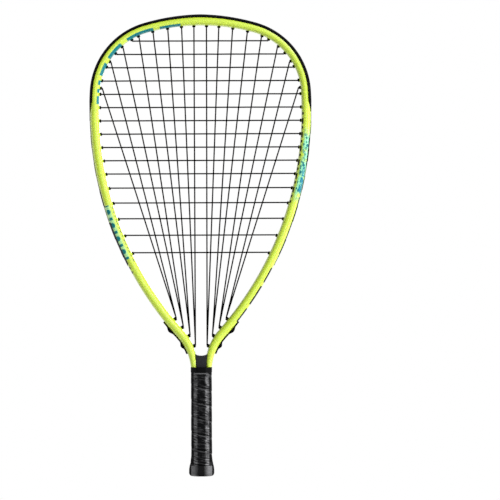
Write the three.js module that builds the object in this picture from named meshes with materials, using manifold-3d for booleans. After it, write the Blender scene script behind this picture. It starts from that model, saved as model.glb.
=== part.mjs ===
// Racquetball racket: a hollow moulded hoop strung with two long strings, its guards and a wrapped handle.
// Millimetres, +Z up. The strings lie in the XZ plane, the front looks along -Y, and the origin is the
// middle of the butt's flat end, so the racket stands straight up over it.
import * as THREE from "three";
import { mergeVertices, toCreasedNormals } from "three/addons/utils/BufferGeometryUtils.js";
import Module from "manifold-3d";

const wasm = await Module();
wasm.setup();
const degree = Math.PI / 180;

// Driving dimensions of the frame
const racketLength = 558.8;
const tubeWidth = 11.4; // across the face, all round the head
const tubeDepth = 20; // front to back, at the head
const tubeWall = 1.2;
const ovalPower = 2.5; // 2 is an ellipse, more is squarer
const crownRadius = 253;
const crownAngle = 14.8 * degree; // from the middle of the crown to the shoulder
const shoulderRadius = 84.5;
const shoulderAngle = 71.9 * degree;
const flankRadius = 405.5;
const throatRadius = 63;
const legSpacing = 18.2; // between the middles of the two legs
const legWidth = 7.1; // where the legs reach the handle
const legDepth = 17;
const legEndDepth = 14; // inside the handle
const taperLength = 60; // the tube narrows over this height above the handle
const taperPower = 2.5; // 1 is even, more is quicker towards the handle
const legEndHeight = 6;

// Driving dimensions of the fit, the guards and the strings
const fitGap = 0.3; // between pieces that seat on each other
const overrun = 3; // how far a cut runs past what it cuts
const grooveWidth = 7.9;
const grooveDepth = 1.8;
const legGrooveDepth = 0.4;
const grooveFade = 18; // the groove runs out over this height above the handle
const floorThickness = 0.9; // of a guard under its strings
const channelWidth = 4.9;
const barrelRadius = 1.8;
const boreRadius = 1.3;
const barrelReach = 1.7; // past the tube's inner face
const guardRise = 1.95; // over the tube at the middle of the crown
const guardSideRise = 1;
const guardEndRise = 0.35;
const guardSkin = 1;
const guardRidge = 1.6;
const guardLipWidth = 1.8; // how much of the tube's front the guard hides at the crown's middle
const sideLipWidth = 3; // and from the crown's ends on
const guardEndLap = 10 * degree; // how far round the tube each end of the guard still reaches
const guardTaper = 14; // each end of the guard runs out over this length
const guardTail = 26; // past the end of the shoulder
const stringDiameter = 1.3;
const weaveGap = 0.3; // between two strings where they cross
const stringLead = 0.8; // straight stretch of string past a barrel's tip
const stringBend = 1; // at a barrel's outer mouth
const laneOffset = 1.6; // of a string that passes another's hole in the channel
const tailLength = 8;
const crossCount = 16;
const crossPitch = 16.08;
const crossSpread = 1; // by which each of the lowest pitches outgrows the one above it
const evenCrossCount = 11; // these lie at one pitch
const firstCrossDrop = 18.7; // of the top cross under the tube's inner face
// Each main's hole, as a share of the way from the crown to the shoulder's end
const mainShares = [0.0458, 0.1357, 0.237, 0.3465, 0.46, 0.609, 0.757, 0.972];
const throatLift = 27.6; // of the lowest throat hole over the handle
const throatSpan = 33; // from the lowest to the highest throat hole
const throatShares = [0, 0.38, 0.69, 1];
const pairOffset = 0.95; // of each of the two strings that share a throat hole
const saddleRise = 2.1; // of the strings' seats outside the throat
const sideRailRise = 0.3; // of a side strip's two edges over the tube
const throatRailRise = 1.6;
const sideStripMargin = 11; // of a strip past its last hole
const throatStripMargin = 6;

// Driving dimensions of the handle
const gripWidth = 25.3;
const gripDepth = 29.3;
const gripBevel = 7.45; // each way, at each of the four corners
const gripThickness = 1.6;
const gripCorner = 0.8; // softening at each edge of the octagon
const lapRise = 0.5; // of the tape where it laps itself
const lapPitch = 19;
const gripEnd = 13.3; // height of the tape's lower end
const collarLength = 5.2;
const collarRise = 0.2; // over the grip
const bridgeHeight = 15; // over the handle
const hornRise = 3;
const hornLapWidth = 1.2; // by which the bridge laps over the front of each leg
const bridgeDepth = 16;
const bridgeRound = 4; // of its upper edges, front and back
const tongueLength = 19; // of the bridge, down into the handle
const shellWall = 2.4;
const pocketWidth = 6.4;
const ribPitch = 18;
const ribThickness = 2;
const capFlare = 2.6; // of the butt over the grip, on every side
const flareTop = 25;
const flareLow = 6;
const capFloor = 3;
const capSkirtTop = 17;
const capEdge = 1.8; // rounding of the butt's bottom edge
const tetherHole = 7;

// How finely things are faceted
const crownSteps = 3;
const shoulderSteps = 9;
const flankSteps = 9;
const throatSteps = 6;
const ovalSteps = 5;
const hollowSteps = 4;
const barrelSides = 6;
const stringSides = 4;
const creaseAngle = 35 * degree; // sharper edges than this are shaded as edges

const legX = legSpacing / 2;
const palletInset = gripThickness + fitGap; // from the tape's outside to the core's
const lerp = THREE.MathUtils.lerp;
const ramp = (value, from, to) => THREE.MathUtils.clamp((value - from) / (to - from), 0, 1);

// Solids

// A closed solid through rings that all have as many points. The two plans give the flat ends in two
// dimensions.
function loft(rings, firstPlan, lastPlan = firstPlan) {
  const count = rings[0].length;
  const index = [];
  for (let r = 0; r + 1 < rings.length; r++)
    for (let i = 0; i < count; i++) {
      const j = (i + 1) % count;
      const [a, b, c, d] = [r * count + i, r * count + j, (r + 1) * count + j, (r + 1) * count + i];
      index.push(a, b, c, a, c, d);
    }
  index.push(...flatEnd(firstPlan, 0, true), ...flatEnd(lastPlan, (rings.length - 1) * count, false));
  return solidOf(rings.flat().flatMap((p) => [p.x, p.y, p.z]), index);
}

function flatEnd(plan, start, reversed) {
  const contour = plan.map(([u, v]) => new THREE.Vector2(u, v));
  const turn = Math.sign(THREE.ShapeUtils.area(contour));
  return THREE.ShapeUtils.triangulateShape(contour, []).flatMap(([a, b, c]) => {
    const same = Math.sign(THREE.ShapeUtils.area([contour[a], contour[b], contour[c]])) === turn;
    return same !== reversed ? [start + a, start + b, start + c] : [start + a, start + c, start + b];
  });
}

function solidOf(positions, index) {
  const vertProperties = new Float32Array(positions);
  const make = (corners) =>
    new wasm.Manifold(new wasm.Mesh({ numProp: 3, vertProperties, triVerts: new Uint32Array(corners) }));
  const made = make(index);
  if (made.volume() > 0) return made;
  for (let i = 0; i < index.length; i += 3) [index[i + 1], index[i + 2]] = [index[i + 2], index[i + 1]];
  return make(index);
}

function solidOfGeometry(geometry) {
  geometry.deleteAttribute("normal");
  geometry.deleteAttribute("uv");
  const merged = mergeVertices(geometry);
  return solidOf([...merged.attributes.position.array], [...merged.index.array]);
}

const joined = (solids) => solids.reduce((all, next) => all.add(next));
const cutAway = (solid, cutters) => cutters.reduce((left, cutter) => left.subtract(cutter), solid);

function block(xs, ys, zs) {
  const geometry = new THREE.BoxGeometry(xs[1] - xs[0], ys[1] - ys[0], zs[1] - zs[0]);
  geometry.translate((xs[0] + xs[1]) / 2, (ys[0] + ys[1]) / 2, (zs[0] + zs[1]) / 2);
  return solidOfGeometry(geometry);
}

const root = new THREE.Group();
function add(name, solid, color, roughness, metalness = 0) {
  const { vertProperties, triVerts } = solid.getMesh();
  const geometry = new THREE.BufferGeometry();
  geometry.setAttribute("position", new THREE.BufferAttribute(new Float32Array(vertProperties), 3));
  geometry.setIndex(new THREE.BufferAttribute(new Uint32Array(triVerts), 1));
  const material = new THREE.MeshStandardMaterial({ color, roughness, metalness });
  const mesh = new THREE.Mesh(toCreasedNormals(geometry, creaseAngle), material);
  mesh.name = name;
  root.add(mesh);
}

// The frame's line

// The right half's middle line, from the crown to the leg's end: four arcs, each tangent to the next, and
// the straight leg. A heading of 0 runs to the right and grows clockwise. The flank turns until the arc of
// the throat, which bends the other way, lands the leg at half the legs' spacing.
function halfLine() {
  const crownTo = crownAngle;
  const shoulderTo = crownTo + shoulderAngle;
  const reach =
    legSpacing / 2 +
    throatRadius -
    (crownRadius - shoulderRadius) * Math.sin(crownTo) -
    (shoulderRadius - flankRadius) * Math.sin(shoulderTo);
  const flankTo = Math.PI - Math.asin(reach / (flankRadius + throatRadius));
  const arcs = [
    { radius: crownRadius, to: crownTo, steps: crownSteps },
    { radius: shoulderRadius, to: shoulderTo, steps: shoulderSteps },
    { radius: flankRadius, to: flankTo, steps: flankSteps },
    { radius: -throatRadius, to: Math.PI / 2, steps: throatSteps },
  ];
  let heading = 0;
  const line = [{ s: 0, x: 0, z: racketLength - guardRise - tubeWidth / 2, heading }];
  for (const { radius, to, steps } of arcs) {
    const turn = (to - heading) / steps;
    for (let i = 0; i < steps; i++) {
      const last = line.at(-1);
      const next = heading + turn;
      line.push({
        s: last.s + Math.abs(radius * turn),
        x: last.x + radius * (Math.sin(next) - Math.sin(heading)),
        z: last.z + radius * (Math.cos(next) - Math.cos(heading)),
        heading: next,
      });
      heading = next;
    }
  }
  return line;
}

const line = halfLine();
const shoulderEnd = line[crownSteps + shoulderSteps].s;
const handleTop = line.at(-1).z; // the legs run parallel from here down
const gripTop = handleTop - collarLength - fitGap;
for (const z of [gripTop, legEndHeight]) {
  const last = line.at(-1);
  line.push({ ...last, s: last.s + last.z - z, z });
}

// The tube's size at a point of the line: how far its inner and outer faces lie from the line, half its
// depth and the depth of its groove. Inside the handle its outer side steps in, so that the grip goes over.
function tubeSize(point) {
  const taper = Math.pow(1 - ramp(point.z, handleTop, handleTop + taperLength), taperPower);
  const fade = 1 - ramp(point.z, handleTop, handleTop + grooveFade);
  const held = point.z <= gripTop;
  const half = lerp(tubeWidth, legWidth, taper) / 2;
  return {
    inner: half,
    outer: held ? gripWidth / 2 - palletInset - legX : half,
    halfDepth: held ? legEndDepth / 2 : lerp(tubeDepth, legDepth, taper) / 2,
    groove: lerp(grooveDepth, legGrooveDepth, fade),
  };
}

// The whole line from the left leg's end, over the crown, to the right leg's end. s is 0 at the crown.
const rightHalf = line.map((p) => {
  const [nx, nz] = [Math.sin(p.heading), Math.cos(p.heading)];
  return { ...p, ...tubeSize(p), nx, nz };
});
const leftHalf = rightHalf.slice(1).map((p) => ({ ...p, s: -p.s, x: -p.x, nx: -p.nx }));
const frameLine = [...leftHalf.reverse(), ...rightHalf];
const placeKeys = ["x", "z", "nx", "nz", "inner", "outer", "halfDepth", "groove"];

// Everything on the frame is placed by this: the line's point, outward normal and tube size at s, taken
// straight along each facet, so that pieces with other steps still lie flat on the tube.
function at(s) {
  let i = 1;
  while (i + 1 < frameLine.length && frameLine[i].s < s) i++;
  const [a, b] = [frameLine[i - 1], frameLine[i]];
  const t = (s - a.s) / (b.s - a.s);
  const mixed = { s };
  for (const key of placeKeys) mixed[key] = lerp(a[key], b[key], t);
  return mixed;
}

// u runs outward across the tube, v along +Y, w along the line.
const spot = (place, u, v = 0, w = 0) =>
  new THREE.Vector3(place.x + u * place.nx + w * place.nz, v, place.z + u * place.nz - w * place.nx);

// A solid through the same section at each station from one s to another. The section gets the place.
function sweep(from, to, section, extra = []) {
  const inside = frameLine.map((p) => p.s).filter((s) => s > from && s < to);
  const stations = [...new Set([from, ...inside, ...extra, to])].sort((a, b) => a - b);
  const plans = stations.map((s) => section(at(s)));
  const rings = plans.map((plan, i) => plan.map(([u, v]) => spot(at(stations[i]), u, v)));
  return loft(rings, plans[0], plans.at(-1));
}

const mirrored = (half) => [...half, ...half.map(([u, v]) => [u, -v]).reverse()];

// A point of the tube's oval, grown by a clearance. The angle is 0 at the outer face.
function onOval(place, angle, grow = 0) {
  const [c, s] = [Math.cos(angle), Math.sin(angle)];
  const across = (place.outer + place.inner) / 2 + grow;
  const middle = (place.outer - place.inner) / 2;
  return [
    middle + across * Math.sign(c) * Math.pow(Math.abs(c), 2 / ovalPower),
    (place.halfDepth + grow) * Math.pow(Math.abs(s), 2 / ovalPower),
  ];
}
const grooveAngle = (place) => Math.asin(Math.pow(grooveWidth / 2 / place.halfDepth, ovalPower / 2));

function tubeSection(place) {
  const first = grooveAngle(place);
  const half = [[place.outer - place.groove, grooveWidth / 2]];
  for (let i = 0; i < ovalSteps; i++) half.push(onOval(place, lerp(first, Math.PI, i / ovalSteps)));
  return [...half, onOval(place, Math.PI), ...half.map(([u, v]) => [u, -v]).reverse()];
}

function hollowSection(place) {
  const half = [];
  for (let i = 0; i < hollowSteps; i++) {
    const [u, v] = onOval(place, (Math.PI * (i + 0.5)) / hollowSteps, -tubeWall);
    half.push([Math.min(u, place.outer - place.groove - tubeWall), v]);
  }
  return mirrored(half);
}

// The tube with no groove, grown by the fit, that cuts its neighbours clear of it.
const clearanceSection = (place) => {
  const half = [];
  for (let i = 0; i < ovalSteps; i++) half.push(onOval(place, (Math.PI * (i + 0.5)) / ovalSteps, fitGap));
  return mirrored(half);
};

// The string holes

const tipDepth = (place) => place.inner + barrelReach;
const leadDepth = (place) => tipDepth(place) + stringLead;
const leadPoint = (s, v = 0) => spot(at(s), -leadDepth(at(s)), v);

// The place on the right half of the frame whose string leaves it at a height.
function stationAtHeight(height, from, to) {
  let [low, high] = [from, to];
  for (let i = 0; i < 50; i++) {
    const middle = (low + high) / 2;
    if (leadPoint(middle).z > height) low = middle;
    else high = middle;
  }
  return (low + high) / 2;
}

// The place on the right half whose middle line lies at a height.
function stationOfLine(height) {
  const i = line.findIndex((p) => p.z <= height);
  return lerp(line[i - 1].s, line[i].s, ramp(height, line[i - 1].z, line[i].z));
}

const flankEnd = line[crownSteps + shoulderSteps + flankSteps].s;
const throatEnd = line[crownSteps + shoulderSteps + flankSteps + throatSteps].s;
const crossHeights = [];
const crownInside = line[0].z - tubeWidth / 2;
for (let j = 0, z = crownInside - firstCrossDrop; j < crossCount; j++) {
  crossHeights.push(z);
  z -= crossPitch + crossSpread * Math.max(0, j + 2 - evenCrossCount);
}
const crossStations = crossHeights.map((z) => stationAtHeight(z, 0, flankEnd));
const mainStations = mainShares.map((share) => share * shoulderEnd);
const throatStations = throatShares.map((share) =>
  stationAtHeight(handleTop + throatLift + throatSpan * share, shoulderEnd, throatEnd),
);

// Barrels and holes run square to the tube. Those at the throat are oval, for two strings each.
function rod(s, fromU, toU, radius, alongY = radius) {
  const place = at(s);
  const plan = [];
  for (let i = 0; i < barrelSides; i++) {
    const angle = (2 * Math.PI * (i + 0.5)) / barrelSides;
    plan.push([alongY * Math.sin(angle), radius * Math.cos(angle)]);
  }
  return loft([fromU, toU].map((u) => plan.map(([v, w]) => spot(place, u, v, w))), plan);
}

const floorUnder = (place) => place.outer - place.groove + fitGap;
const floorTop = (place) => floorUnder(place) + floorThickness;
const stringRide = (place) => floorTop(place) + stringBend;
const oval = (paired, radius) => (paired ? radius + pairOffset : radius);

function barrel(s, paired) {
  const place = at(s);
  const root = (floorUnder(place) + floorTop(place)) / 2;
  return rod(s, -tipDepth(place), root, barrelRadius, oval(paired, barrelRadius));
}
function bore(s, paired) {
  const place = at(s);
  const [from, to] = [-tipDepth(place) - overrun, floorTop(place) + overrun];
  return rod(s, from, to, boreRadius, oval(paired, boreRadius));
}
function frameHole(s, paired) {
  const place = at(s);
  const radius = barrelRadius + fitGap;
  return rod(s, -place.inner - overrun, place.outer + overrun, radius, oval(paired, radius));
}

// Frame

const guardEnd = shoulderEnd + guardTail;
const guardCrosses = crossStations.filter((s) => s < guardEnd);
const stripCrosses = crossStations.filter((s) => s >= guardEnd);
const bothSides = (stations) => [...stations.map((s) => -s), ...stations];

const tubeEnd = line.at(-1).s;
const hollow = (() => {
  const rings = frameLine.map((p) => hollowSection(p).map(([u, v]) => spot(p, u, v)));
  for (const p of [...rings[0], ...rings.at(-1)]) p.z -= overrun; // open at the legs' ends
  return loft(rings, hollowSection(frameLine[0]));
})();
const holes = [
  ...bothSides([...mainStations, ...crossStations]).map((s) => frameHole(s, false)),
  ...bothSides(throatStations).map((s) => frameHole(s, true)),
];
const frameTube = cutAway(sweep(-tubeEnd, tubeEnd, tubeSection), [hollow, ...holes]);
add("frame_tube", frameTube, 0xc8e63a, 0.25);

// Guards: each has its barrels through the frame and a channel outside that the strings lie in

function strip(from, to, section, stations, paired, extra) {
  const whole = joined([sweep(from, to, section, extra), ...stations.map((s) => barrel(s, paired))]);
  return cutAway(whole, stations.map((s) => bore(s, paired)));
}

// The crown's guard fills the groove, stands over the strings on both sides and laps over the tube's front
// and back. It runs out at its ends.
function guardSection(place) {
  const away = Math.abs(place.s);
  const full = ramp(guardEnd - away, 0, guardTaper);
  const beside = ramp(away, 0, line[crownSteps].s);
  const crest = place.outer + lerp(guardEndRise, lerp(guardRise, guardSideRise, beside), full);
  const across = (place.outer + place.inner) / 2;
  const shown = across - lerp(guardLipWidth, sideLipWidth, beside);
  const first = grooveAngle(place);
  const corner = lerp(first, Math.PI, 1 / ovalSteps); // of the tube's own section
  const lipAngle = Math.acos(Math.pow(shown / (across + fitGap + guardSkin / 2), ovalPower / 2));
  const last = lerp(first + guardEndLap, lipAngle, full);
  const middle = lerp((first + last) / 2, corner, full);
  const skin = lerp(guardEndRise, guardSkin, full);
  const seat = grooveWidth / 2 - fitGap;
  return mirrored([
    [floorTop(place), channelWidth / 2],
    [crest, channelWidth / 2],
    [crest, channelWidth / 2 + guardRidge],
    onOval(place, middle, fitGap + skin),
    onOval(place, last, fitGap + skin / 2),
    onOval(place, last, fitGap),
    onOval(place, middle, fitGap),
    [place.outer + fitGap, seat + fitGap * 2],
    [place.outer + fitGap, seat],
    [floorUnder(place), seat],
  ]);
}
const guardStations = bothSides([...mainStations, ...guardCrosses]);
const taperShares = [1 / 3, 2 / 3, 1]; // rings over each end, so that it clears the tube's rounding
const guardSteps = bothSides(taperShares.map((share) => guardEnd - guardTaper * share));
const bumperGuard = strip(-guardEnd, guardEnd, guardSection, guardStations, false, guardSteps);
add("bumper_guard", bumperGuard, 0x17171a, 0.55);

const railSection = (rise) => (place) => {
  const seat = grooveWidth / 2 - fitGap;
  const lift = saddleAt(Math.abs(place.s));
  return mirrored([
    [floorTop(place) + lift, channelWidth / 2],
    [place.outer + rise + lift, channelWidth / 2],
    [place.outer + rise + lift, seat],
    [floorUnder(place), seat],
  ]);
};

// Between the first and second throat hole, and the third and fourth, the strings ride over a low saddle.
const saddles = [throatStations.slice(0, 2), throatStations.slice(2, 4)];
const bump = (t) => Math.sin(Math.PI * t) ** 2;
function saddleAt(s) {
  const saddle = saddles.find(([low, high]) => s < low && s > high);
  return saddle ? saddleRise * bump(ramp(s, saddle[1], saddle[0])) : 0;
}
const saddleShares = [0, 0.25, 0.5, 0.75, 1];
const saddleSteps = saddles.flatMap(([low, high]) => saddleShares.map((share) => lerp(high, low, share)));

const sideFrom = guardEnd + fitGap * 2;
const sideTo = stripCrosses.at(-1) + sideStripMargin;
const throatFrom = throatStations.at(-1) - throatStripMargin;
const throatTo = throatStations[0] + throatStripMargin;
for (const [side, sign] of [["left", -1], ["right", 1]]) {
  const ends = (a, b) => (sign > 0 ? [a, b] : [-b, -a]);
  const [sideHoles, throatHoles, steps] = [stripCrosses, throatStations, saddleSteps].map((stations) =>
    stations.map((s) => sign * s),
  );
  const sideStrip = strip(...ends(sideFrom, sideTo), railSection(sideRailRise), sideHoles, false, []);
  const [from, to] = ends(throatFrom, throatTo);
  const throatStrip = strip(from, to, railSection(throatRailRise), throatHoles, true, steps);
  add("grommet_strip_" + side, sideStrip, 0x17171a, 0.55);
  add("throat_strip_" + side, throatStrip, 0x17171a, 0.55);
}

// Strings: two long cords, woven over and under each other

// A tube along a route, with one ring to each of its points. The rings don't twist along the way.
function cord(points) {
  const radius = stringDiameter / 2;
  const directions = points.slice(1).map((p, i) => p.clone().sub(points[i]).normalize());
  const plan = [];
  for (let i = 0; i < stringSides; i++) {
    const angle = (2 * Math.PI * i) / stringSides;
    plan.push([radius * Math.cos(angle), radius * Math.sin(angle)]);
  }
  const side = new THREE.Vector3(0, 1, 0);
  const rings = points.map((p, i) => {
    const into = directions[Math.max(0, i - 1)];
    const along = into.clone().add(directions[Math.min(i, directions.length - 1)]).normalize();
    side.addScaledVector(along, -side.dot(along)).normalize();
    const other = along.clone().cross(side);
    return plan.map(([a, b]) => p.clone().addScaledVector(side, a).addScaledVector(other, b));
  });
  return loft(rings, plan);
}

// The least room between parts of one cord that lie further apart along it than a bend of it takes.
function leastRoom(points) {
  const samples = [];
  let run = 0;
  for (let i = 1; i < points.length; i++) {
    const length = points[i].distanceTo(points[i - 1]);
    const steps = Math.ceil(length / stringDiameter);
    for (let k = 0; k < steps; k++) {
      const share = k / steps;
      samples.push({ run: run + length * share, point: points[i - 1].clone().lerp(points[i], share) });
    }
    run += length;
  }
  let least = Infinity;
  for (let i = 0; i < samples.length; i++)
    for (let j = i + 1; j < samples.length; j++)
      if (samples[j].run - samples[i].run > stringDiameter * 6)
        least = Math.min(least, samples[i].point.distanceTo(samples[j].point));
  return least - stringDiameter;
}

// Sixteen mains, from the left: each hangs from its own hole in the crown and shares one at the throat with
// its neighbour. Where a main crosses a cross it lies in front of it or behind it by turns.
const weave = (stringDiameter + weaveGap) / 2;
const mainCount = mainShares.length * 2;
const weaveSide = (main, cross) => ((main + cross) % 2 === 0 ? -weave : weave); // where the main lies
const mains = Array.from({ length: mainCount }, (_, main) => {
  const right = main >= mainShares.length;
  const rank = right ? main - mainShares.length : mainShares.length - 1 - main;
  const sign = right ? 1 : -1;
  const top = sign * mainStations[rank];
  const bottom = sign * throatStations[Math.floor(rank / 2)];
  const lane = Math.sign(weaveSide(main, crossCount - 1)) * pairOffset;
  const [high, low] = [leadPoint(top), leadPoint(bottom, lane)];
  const crossings = crossHeights
    .map((z, cross) => ({ cross, x: lerp(high.x, low.x, (high.z - z) / (high.z - low.z)), z }))
    .filter(({ z }) => z < high.z);
  return { main, top, bottom, lane, high, low, crossings };
});

// The stretch from a barrel's mouth, along the channel in a lane, to another barrel's mouth.
function outside(from, to, startY, lane, rise = 0) {
  const step = Math.sign(to - from) * stringBend;
  const ride = (s, y, lift = 0) => spot(at(s), stringRide(at(s)) + lift, y);
  const mouth = (s) => spot(at(s), floorTop(at(s)), startY);
  const middles = rise ? [0.25, 0.5, 0.75] : lane ? [0.5] : [];
  const over = middles.map((t) => ride(lerp(from, to, t), lane, rise * bump(t)));
  return [mouth(from), ride(from + step, lane), ...over, ride(to - step, lane), mouth(to)];
}
// The end of a cord: out of a hole, into its lane and a short way along the channel.
function tail(s, direction, lane) {
  const reaches = [0, stringBend, tailLength];
  const [place, near, far] = reaches.map((reach) => at(s + direction * reach));
  const along = [far, near].map((reached) => spot(reached, stringRide(reached), lane));
  return [...along, spot(place, floorTop(place))];
}

const mainOrder = Array.from({ length: mainCount }, (_, i) => 4 * Math.floor(i / 4) + [0, 2, 1, 3][i % 4]);
function mainRoute() {
  const points = tail(mains[0].top, -1, -laneOffset);
  mainOrder.forEach((index, turn) => {
    const { main, top, bottom, lane, high, low, crossings } = mains[index];
    const down = crossings.map(({ cross, x, z }) => new THREE.Vector3(x, weaveSide(main, cross), z));
    const run = [high, ...down, low];
    const next = mains[mainOrder[turn + 1]];
    const goesDown = turn % 2 === 0;
    points.push(...(goesDown ? run : run.reverse()));
    if (next && goesDown) points.push(...outside(bottom, next.bottom, lane, lane, saddleRise));
    if (next && !goesDown) points.push(...outside(top, next.top, 0, -laneOffset));
  });
  return [...points, ...tail(mains.at(-1).top, 1, -laneOffset).reverse()];
}

function crossRoute() {
  const points = tail(-crossStations[0], -1, laneOffset);
  crossHeights.forEach((z, cross) => {
    const sign = cross % 2 === 0 ? 1 : -1; // of the side that this cross ends on
    const s = crossStations[cross];
    const over = mains.flatMap(({ main, crossings }) => {
      const met = crossings.filter((c) => c.cross === cross);
      return met.map(({ x }) => new THREE.Vector3(x, -weaveSide(main, cross), z));
    });
    points.push(leadPoint(-sign * s), ...(sign > 0 ? over : over.reverse()), leadPoint(sign * s));
    const next = crossStations[cross + 1];
    const lane = s > mainStations.at(-1) ? 0 : laneOffset; // no main runs in the channel down there
    if (next) points.push(...outside(sign * s, sign * next, 0, lane));
  });
  const last = crossCount % 2 === 0 ? -1 : 1;
  return [...points, ...tail(last * crossStations.at(-1), -last, 0).reverse()];
}

for (const [name, route] of [["main_string", mainRoute()], ["cross_string", crossRoute()]]) {
  console.log(`${name}: ${route.length} rings, least room to itself ${leastRoom(route).toFixed(2)} mm`);
  add(name, cord(route), 0x111113, 0.35);
}

// Handle

// An octagon with softened corners at a height, grown from the grip's outline.
function octagon(grow) {
  const [x, y] = [gripWidth / 2 + grow, gripDepth / 2 + grow];
  const bevel = gripBevel + grow * (2 - Math.SQRT2);
  const corners = [];
  for (const [sx, sy] of [[1, 1], [-1, 1], [-1, -1], [1, -1]]) {
    const ends = [[sx * x, sy * (y - bevel)], [sx * (x - bevel), sy * y]];
    const pair = ends.map(([px, py]) => new THREE.Vector2(px, py));
    corners.push(...(sx * sy > 0 ? pair : pair.reverse()));
  }
  return corners.flatMap((corner, i) => {
    const toward = (other) => corner.clone().add(other.clone().sub(corner).setLength(gripCorner));
    return [toward(corners.at(i - 1)), toward(corners[(i + 1) % corners.length])];
  });
}
const flare = (z) => capFlare * (1 - THREE.MathUtils.smoothstep(z, flareLow, flareTop));
function column(levels) {
  const plans = levels.map(({ grow }) => octagon(grow));
  const rings = levels.map(({ z }, i) => plans[i].map((p) => new THREE.Vector3(p.x, p.y, z)));
  const flat = (plan) => plan.map((p) => [p.x, p.y]);
  return loft(rings, flat(plans[0]), flat(plans.at(-1)));
}
// The room that the two legs need, from the throat down past their ends.
const legRoom = [
  sweep(-tubeEnd - overrun, -flankEnd, clearanceSection),
  sweep(flankEnd, tubeEnd + overrun, clearanceSection),
];

// The bridge fills the angle between the legs, with a dished top and a horn up each leg, and its tongue goes
// down between them into the handle.
const tongueHalf = legX - legWidth / 2 - fitGap;
const tongueBottom = handleTop - tongueLength;
const bridgeTop = handleTop + bridgeHeight;
const hornShares = [0.25, 0.5, 0.75, 1]; // of the height from the handle to the horns' tips
const dishShare = 0.75; // of the bridge's half width: where its top turns up into the horns
const bridge = (() => {
  const edge = (z) => {
    const place = at(stationOfLine(z));
    return place.x - place.inner / place.nx + hornLapWidth;
  };
  const hornTop = bridgeTop + hornRise;
  const flank = hornShares.map((share) => lerp(handleTop, hornTop, share)).map((z) => [edge(z), z]);
  const wide = edge(hornTop);
  const outline = new THREE.Shape();
  outline.moveTo(-tongueHalf, tongueBottom);
  outline.lineTo(tongueHalf, tongueBottom);
  outline.lineTo(tongueHalf, handleTop);
  for (const [x, z] of flank) outline.lineTo(x, z);
  outline.quadraticCurveTo(edge(bridgeTop) * dishShare, bridgeTop, 0, bridgeTop);
  outline.quadraticCurveTo(-edge(bridgeTop) * dishShare, bridgeTop, -wide, hornTop);
  for (const [x, z] of flank.reverse().slice(1)) outline.lineTo(-x, z);
  outline.lineTo(-tongueHalf, handleTop);
  const frontSteps = { bevelEnabled: false, curveSegments: 4 };
  const front = new THREE.ExtrudeGeometry(outline, { depth: bridgeDepth, ...frontSteps });
  front.translate(0, 0, -bridgeDepth / 2);
  front.rotateX(Math.PI / 2);
  // Seen from the side, the bridge's upper edges are rounded.
  const [half, turn] = [bridgeDepth / 2, hornTop - bridgeRound];
  const profile = new THREE.Shape();
  profile.moveTo(-half, tongueBottom - overrun);
  profile.lineTo(half, tongueBottom - overrun);
  profile.lineTo(half, turn);
  profile.absarc(half - bridgeRound, turn, bridgeRound, 0, Math.PI / 2);
  profile.absarc(bridgeRound - half, turn, bridgeRound, Math.PI / 2, Math.PI);
  const sideSteps = { bevelEnabled: false, curveSegments: 3 };
  const side = new THREE.ExtrudeGeometry(profile, { depth: wide * 2, ...sideSteps });
  side.translate(0, 0, -wide);
  side.rotateX(Math.PI / 2);
  side.rotateZ(Math.PI / 2);
  return cutAway(solidOfGeometry(front).intersect(solidOfGeometry(side)), legRoom);
})();
add("throat_bridge", bridge, 0x2a2a2e, 0.6);

// The handle's core: a front and a back shell round the legs, ribbed inside and open to each other.
const palletGrow = -palletInset;
const palletTop = handleTop - fitGap;
const palletBottom = capFloor + fitGap;
const pocketBottom = palletBottom + shellWall;
const pocketTop = tongueBottom - shellWall;
function handleShell(front) {
  const body = column([{ z: palletBottom, grow: palletGrow }, { z: palletTop, grow: palletGrow }]);
  const depth = gripDepth / 2;
  const away = front ? [-fitGap / 2, depth] : [-depth, fitGap / 2];
  const inner = depth - palletInset - shellWall;
  const pockets = [];
  const count = Math.floor((pocketTop - pocketBottom) / ribPitch);
  const pitch = (pocketTop - pocketBottom + ribThickness) / count;
  for (let i = 0; i < count; i++) {
    const low = pocketBottom + i * pitch;
    const levels = [low, low + pitch - ribThickness];
    pockets.push(block([-pocketWidth / 2, pocketWidth / 2], [-inner, inner], levels));
  }
  const tongueRoom = block(
    [-legX, legX],
    [-bridgeDepth / 2 - fitGap, bridgeDepth / 2 + fitGap],
    [tongueBottom - fitGap, palletTop + overrun],
  );
  const otherHalf = block([-gripWidth, gripWidth], away, [palletBottom - overrun, palletTop + overrun]);
  return cutAway(body, [otherHalf, ...legRoom, ...pockets, tongueRoom]);
}
add("handle_shell_front", handleShell(true), 0x3a3a3c, 0.7);
add("handle_shell_back", handleShell(false), 0x3a3a3c, 0.7);

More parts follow.
